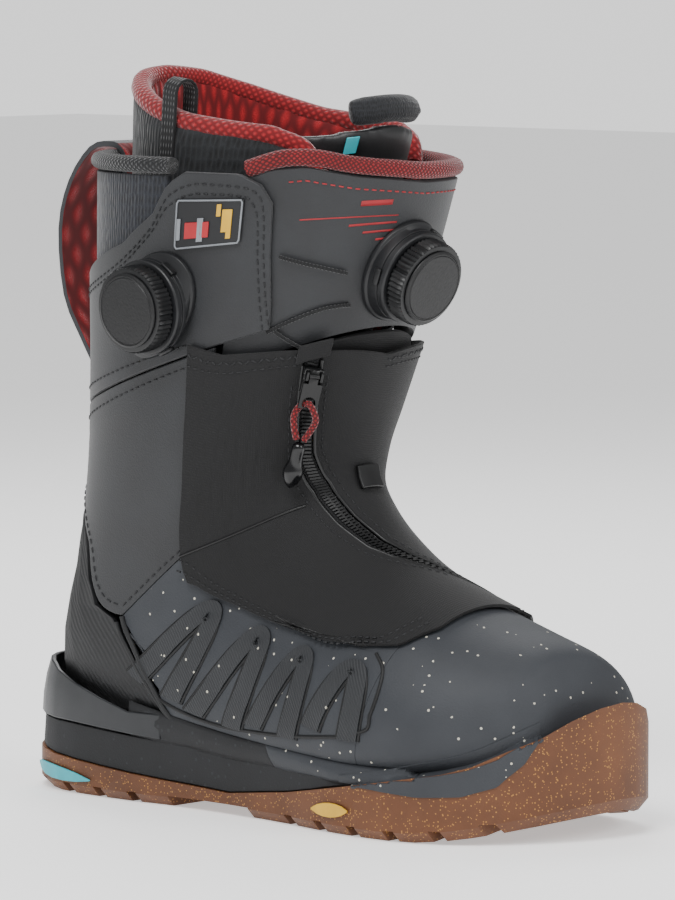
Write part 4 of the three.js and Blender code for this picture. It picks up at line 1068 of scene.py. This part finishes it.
# %% [markdown]
# ## Liner loop
# A folded ribbon of webbing at the side of the liner, to pull it on with.

# %% Liner loop
bm = welded("liner_loop")
loop_mesh = to_mesh(bm, "webbing_loop")
map_cloth(loop_mesh)
webbing_loop = new_piece("webbing_loop", loop_mesh, [webbing], "boot", ["liner_loop"])
loop_mesh.set_sharp_from_angle(angle=math.radians(50))
round_edges(webbing_loop, 0.4)
print("loop made")

# %% [markdown]
# ## Zip and its pull
# The zip is a coil chain in a dark channel. The pull is a loop of red cord through the
# tab's eye, and both of its ends go into a shrink sleeve.

# %% Zip teeth
chain = bmesh.new()
count = 150
for k in range(count):
    s = lerp(5.25, 11.9, k / (count - 1))
    side = 1 if k % 2 else -1
    stand = stand_on(s, zip_at(s) + side * degrees_for(s, 0.9), COVER + 0.9)
    made = bmesh.ops.create_cube(chain, size=1)["verts"]
    bmesh.ops.scale(chain, vec=Vector((2.6, 0.85, 1.0)) * MM, verts=made)
    bmesh.ops.transform(chain, matrix=stand, verts=made)
chain_mesh = to_mesh(chain, "zip_teeth")
map_cloth(chain_mesh)
new_piece("zip_teeth", chain_mesh, [zip_plastic], smooth=False)
panel("zip_tape", lambda f, g: (lerp(5.2, 11.95, g), zip_at(lerp(5.2, 11.95, g)) + (2 * f - 1) * degrees_for(lerp(5.2, 11.95, g), 3)),
      COVER + 0.6, 0.6, 4, 90, [webbing], ["zip_chain"], 0.2)
for side, name in ((1, "outer"), (-1, "inner")):
    lip = [off_last(s, zip_at(s) + side * degrees_for(s, 4.0), OVER - 0.35) for s in [lerp(5.25, 11.9, k / 80) for k in range(81)]]
    tube("zip_lip_" + name, lip, 0.85 * MM, [zip_plastic])
print("zip with", count, "teeth")

# %% Pull cord
slider_stand = stand_on(11.6, zip_at(11.6), OVER + 0.9)
EYE_Y = 3 - 13 + 1.2
CORD_ROUTE = [(-1.5, -25, 4.2), (-3.4, -20, 3.4), (-4.1, -15.5, 2.2), (-2.4, -11.4, 1.6), (0, EYE_Y - 0.2, 4.1),
              (2.4, -11.4, 6.8), (4.1, -15.5, 6.4), (3.4, -20, 5.2), (1.5, -25, 4.6)]
cord_line = [slider_stand @ (p * MM) for p in smooth_line([Vector(p) for p in CORD_ROUTE], 60)]
pull_loop = tube("pull_loop", cord_line, 1.4 * MM, [red_knit], "zip_pull", 16, ["pull_cord"])
sleeve = moulded("pull_sleeve", "shrink_sleeve", sleeve_plastic, 0, "zip_pull", levels=2)

# %% [markdown]
# ## Stitching
# Every seam is sewn with a thick thread. One row of stitches is one piece: short rounded
# bars set along a line on the last, each a little sunk, with an even gap between.

# %% Stitches
def stitch_row(name, places, layer, finish, length=2.6, gap=1.3, width=0.8, zigzag=0.0, body="boot"):
    line = [off_last(s, a, layer) for s, a in places]
    normals = [outward(s, a) for s, a in places]
    run, marks = 0, [0]
    for a, b in zip(line, line[1:]):
        run += (b - a).length / MM
        marks.append(run)
    number = max(2, int(run / (length + gap)))
    row = bmesh.new()
    index = 0
    for k in range(number):
        at = (k + 0.5) / number * run
        while index < len(marks) - 2 and marks[index + 1] < at:
            index += 1
        f = (at - marks[index]) / max(marks[index + 1] - marks[index], 1e-6)
        where = line[index].lerp(line[index + 1], f)
        z = normals[index]
        x = (line[index + 1] - line[index]).normalized()
        y = z.cross(x).normalized()
        if zigzag:
            tilt = math.radians(zigzag if k % 2 else -zigzag)
            x, y = x * math.cos(tilt) + y * math.sin(tilt), y * math.cos(tilt) - x * math.sin(tilt)
        stand = Matrix((x, y, z)).transposed().to_4x4()
        stand.translation = where
        made = bmesh.ops.create_cube(row, size=1)["verts"]
        for v in made:
            if v.co.z > 0:
                v.co.x *= 0.7
                v.co.y *= 0.55
        bmesh.ops.scale(row, vec=Vector((length, width, width * 0.8)) * MM, verts=made)
        bmesh.ops.transform(row, matrix=stand, verts=made)
    mesh = to_mesh(row, name)
    map_cloth(mesh)
    return new_piece(name, mesh, [finish], body)


def sampled(line, count=80):
    return [tuple(p) for p in smooth_line([Vector(p) for p in line], count)]


FLAP_LINE = [(12.72, 53.5), (13.2, 56), (13.8, 58), (14.4, 59.5), (14.68, 61.5), (14.8, 66), (14.84, 74), (14.84, 84), (14.7, 91),
             (14.32, 97), (14.02, 109), (13.86, 125), (13.77, 150), (13.72, 178)]
stitch_row("flap_stitches_a", sampled(FLAP_LINE, 160), 0.1, thread_dark)
stitch_row("flap_stitches_b", sampled([(s - (0.12 if s > 14.6 else 0.06), a + (1.8 if s < 14.6 and a < 70 else 1.6 if a < 66 else 0))
                                       for s, a in FLAP_LINE], 160), 0.1, thread_dark)
for side, name in ((1, "outer"), (-1, "inner")):
    stitch_row(f"cuff_seam_{name}_a", [(12.80, side * a) for a in range(82, 179, 2)], 0.1, thread_dark)
    stitch_row(f"cuff_seam_{name}_b", [(12.5, side * a) for a in range(82, 170, 2)], 0.1, thread_dark)
    stitch_row(f"low_seam_{name}", [(9.74, side * a) for a in range(74, 96, 1)], 0.1, thread_dark)
    stitch_row(f"counter_stitches_{name}", [(s, side * (a - 3.2)) for s, a in sampled([(9.8, 99), (10.3, 109), (11, 124), (11.6, 142), (12, 160)], 60)],
               0.1, thread_dark)
    hem = [(s + 0.16, side * a) for s, a in sampled(GAITER_HEM[1:], 100)]
    stitch_row(f"gaiter_hem_{name}_a", hem, OVER + 0.05, thread_dark, 2.2, 1.2, 0.8)
    stitch_row(f"gaiter_hem_{name}_b", [(s + 0.14, a * 0.985) for s, a in hem], OVER + 0.05, thread_dark, 2.2, 1.2, 0.8)
    top = [(s - 0.12, side * a) for s, a in sampled(GAITER_TOP[1 if side > 0 else 0:], 80) if side < 0 or a > 39]
    stitch_row(f"gaiter_top_{name}", top, OVER + 0.05, thread_dark, 2.6, 0.3, 0.8, 32)
    stitch_row(f"gaiter_top_line_{name}", [(s - 0.14, a) for s, a in top], OVER + 0.05, thread_dark, 2.2, 1.0, 0.7)
    zip_row = [(s, zip_at(s) + side * degrees_for(s, 7.5)) for s in [lerp(5.6, 11.6, k / 80) for k in range(81)]]
    stitch_row(f"zip_stitches_{name}", zip_row, OVER + 0.05, thread_dark, 2.2, 1.2, 0.7)
tube("gaiter_seam", line_on_last([(9.62, 76), (9.14, 55), (8.66, 31)], OVER + 0.05, 50), 0.55 * MM, [zip_plastic])
stitch_row("front_panel_stitches", [(along(FRONT_TOP, a) - 0.2, a) for a in range(-80, 56, 2)], UNDER + 0.1, thread_red, 2.2, 1.2, 0.7)
print("stitches sewn")

# %% [markdown]
# ## Badge and print
# A small moulded badge sits on the flap, and the front panel carries a thin printed rule
# with short bars under it. Both are plain shapes, with no lettering.

# %% Badge and printed rule
panel("badge_plate", lambda f, g: (14.36 + (g - 0.5) * 0.60, 77 + (0.5 - f) * 22), 1.1, 0.9, 12, 6, [badge_black], ["side_badge"],
      0.5)
for number, (low_s, low_a, wide, tall, finish) in enumerate([(14.28, 80.5, 8, 0.2, badge_red), (14.28, 79.4, 2, 0.3, badge_grey),
                                                            (14.3, 86.6, 1.2, 0.26, badge_grey), (14.38, 70.8, 3.2, 0.3, yellow),
                                                            (14.52, 73.6, 1.4, 0.16, yellow), (14.2, 70, 1.6, 0.12, yellow)]):
    panel(f"badge_bar_{number}", lambda f, g, s=low_s, a=low_a, w=wide, t=tall: (s + (g - 0.5) * t, a + (0.5 - f) * w), 1.65, 0.5, 6, 4,
          [finish], edge=0.2)
outline = [(14.36 + 0.29 * math.sin(t), 77 + 10.6 * math.cos(t)) for t in [k / 40 * 2 * math.pi for k in range(41)]]
outline = [(14.36 + math.copysign(min(0.29, abs(s - 14.36) * 1.5), s - 14.36), 77 + math.copysign(min(10.6, abs(a - 77) * 1.35), a - 77))
           for s, a in outline]
tube("badge_outline", [off_last(s, a, 1.25) for s, a in outline], 0.4 * MM, [badge_grey])
panel("printed_rule", lambda f, g: (lerp(14.3, 14.26, f) + (g - 0.5) * 0.02, lerp(48, 10, f)), UNDER + 0.12, 0.1, 40, 1, [thread_red], edge=0)
for number, (s, start, wide) in enumerate([(14.5, 27, 13), (14.14, 30, 20), (14.0, 24, 14), (13.86, 18, 9)]):
    panel(f"printed_bar_{number}", lambda f, g, s=s, a=start, w=wide: (s + (g - 0.5) * (0.09 if w == 13 else 0.035), a - f * w),
          UNDER + 0.12, 0.1, 16, 1, [thread_red], edge=0)
print("badge and print made")

# %% Gaiter cloth area
for name, flat, share in (("lateral", (0.13, 0.155), 0.6), ("medial", (0.17, 0.155), 0.6)):
    piece = gaiters[name]
    area = sum(face.area for face in piece.data.polygons)
    side = math.sqrt(area / 0.8)
    print(name, "gaiter cloth", round(area * 1e4, 1), "square centimetres")

# %% Floor and light
floor_mesh = bpy.data.meshes.new("floor")
bm = bmesh.new()
bmesh.ops.create_grid(bm, x_segments=1, y_segments=1, size=6)
bm.to_mesh(floor_mesh)
bm.free()
floor = bpy.data.objects.new("floor", floor_mesh)
bpy.context.scene.collection.objects.link(floor)
floor_finish, _, _ = new_finish("pale_floor", "#ffffff", 0.9, Emission_Color=(1, 1, 1, 1), Emission_Strength=0.55, Specular_IOR_Level=0.1)
floor_mesh.materials.append(floor_finish)
world = bpy.data.worlds.new("studio")
world.use_nodes = True
sky = world.node_tree
lit = sky.nodes["Background"]
lit.inputs["Color"].default_value = colour("#ffffff")
lit.inputs["Strength"].default_value = 0.42
backdrop = sky.nodes.new("ShaderNodeBackground")
backdrop.inputs["Strength"].default_value = 1.6
seen = sky.nodes.new("ShaderNodeLightPath")
pick = sky.nodes.new("ShaderNodeMixShader")
sky.links.new(seen.outputs["Is Camera Ray"], pick.inputs[0])
sky.links.new(lit.outputs[0], pick.inputs[1])
sky.links.new(backdrop.outputs[0], pick.inputs[2])
sky.links.new(pick.outputs[0], sky.nodes["World Output"].inputs["Surface"])
bpy.context.scene.world = world


def soft_box(name, azimuth, rise, distance, size, power):
    lamp = bpy.data.lights.new(name, "AREA")
    lamp.size = size
    lamp.energy = power
    holder = bpy.data.objects.new(name, lamp)
    a, e = math.radians(azimuth), math.radians(rise)
    way = Vector((math.sin(a) * math.cos(e), -math.cos(a) * math.cos(e), math.sin(e)))
    holder.location = Vector((0, 0, 0.15)) + way * distance
    holder.rotation_euler = way.to_track_quat("Z", "Y").to_euler()
    bpy.context.scene.collection.objects.link(holder)


soft_box("key", 20, 50, 1.4, 0.7, 17)
soft_box("fill", 100, 30, 1.6, 0.8, 9)
soft_box("rear", 225, 45, 1.5, 0.8, 12)
print("studio ready")
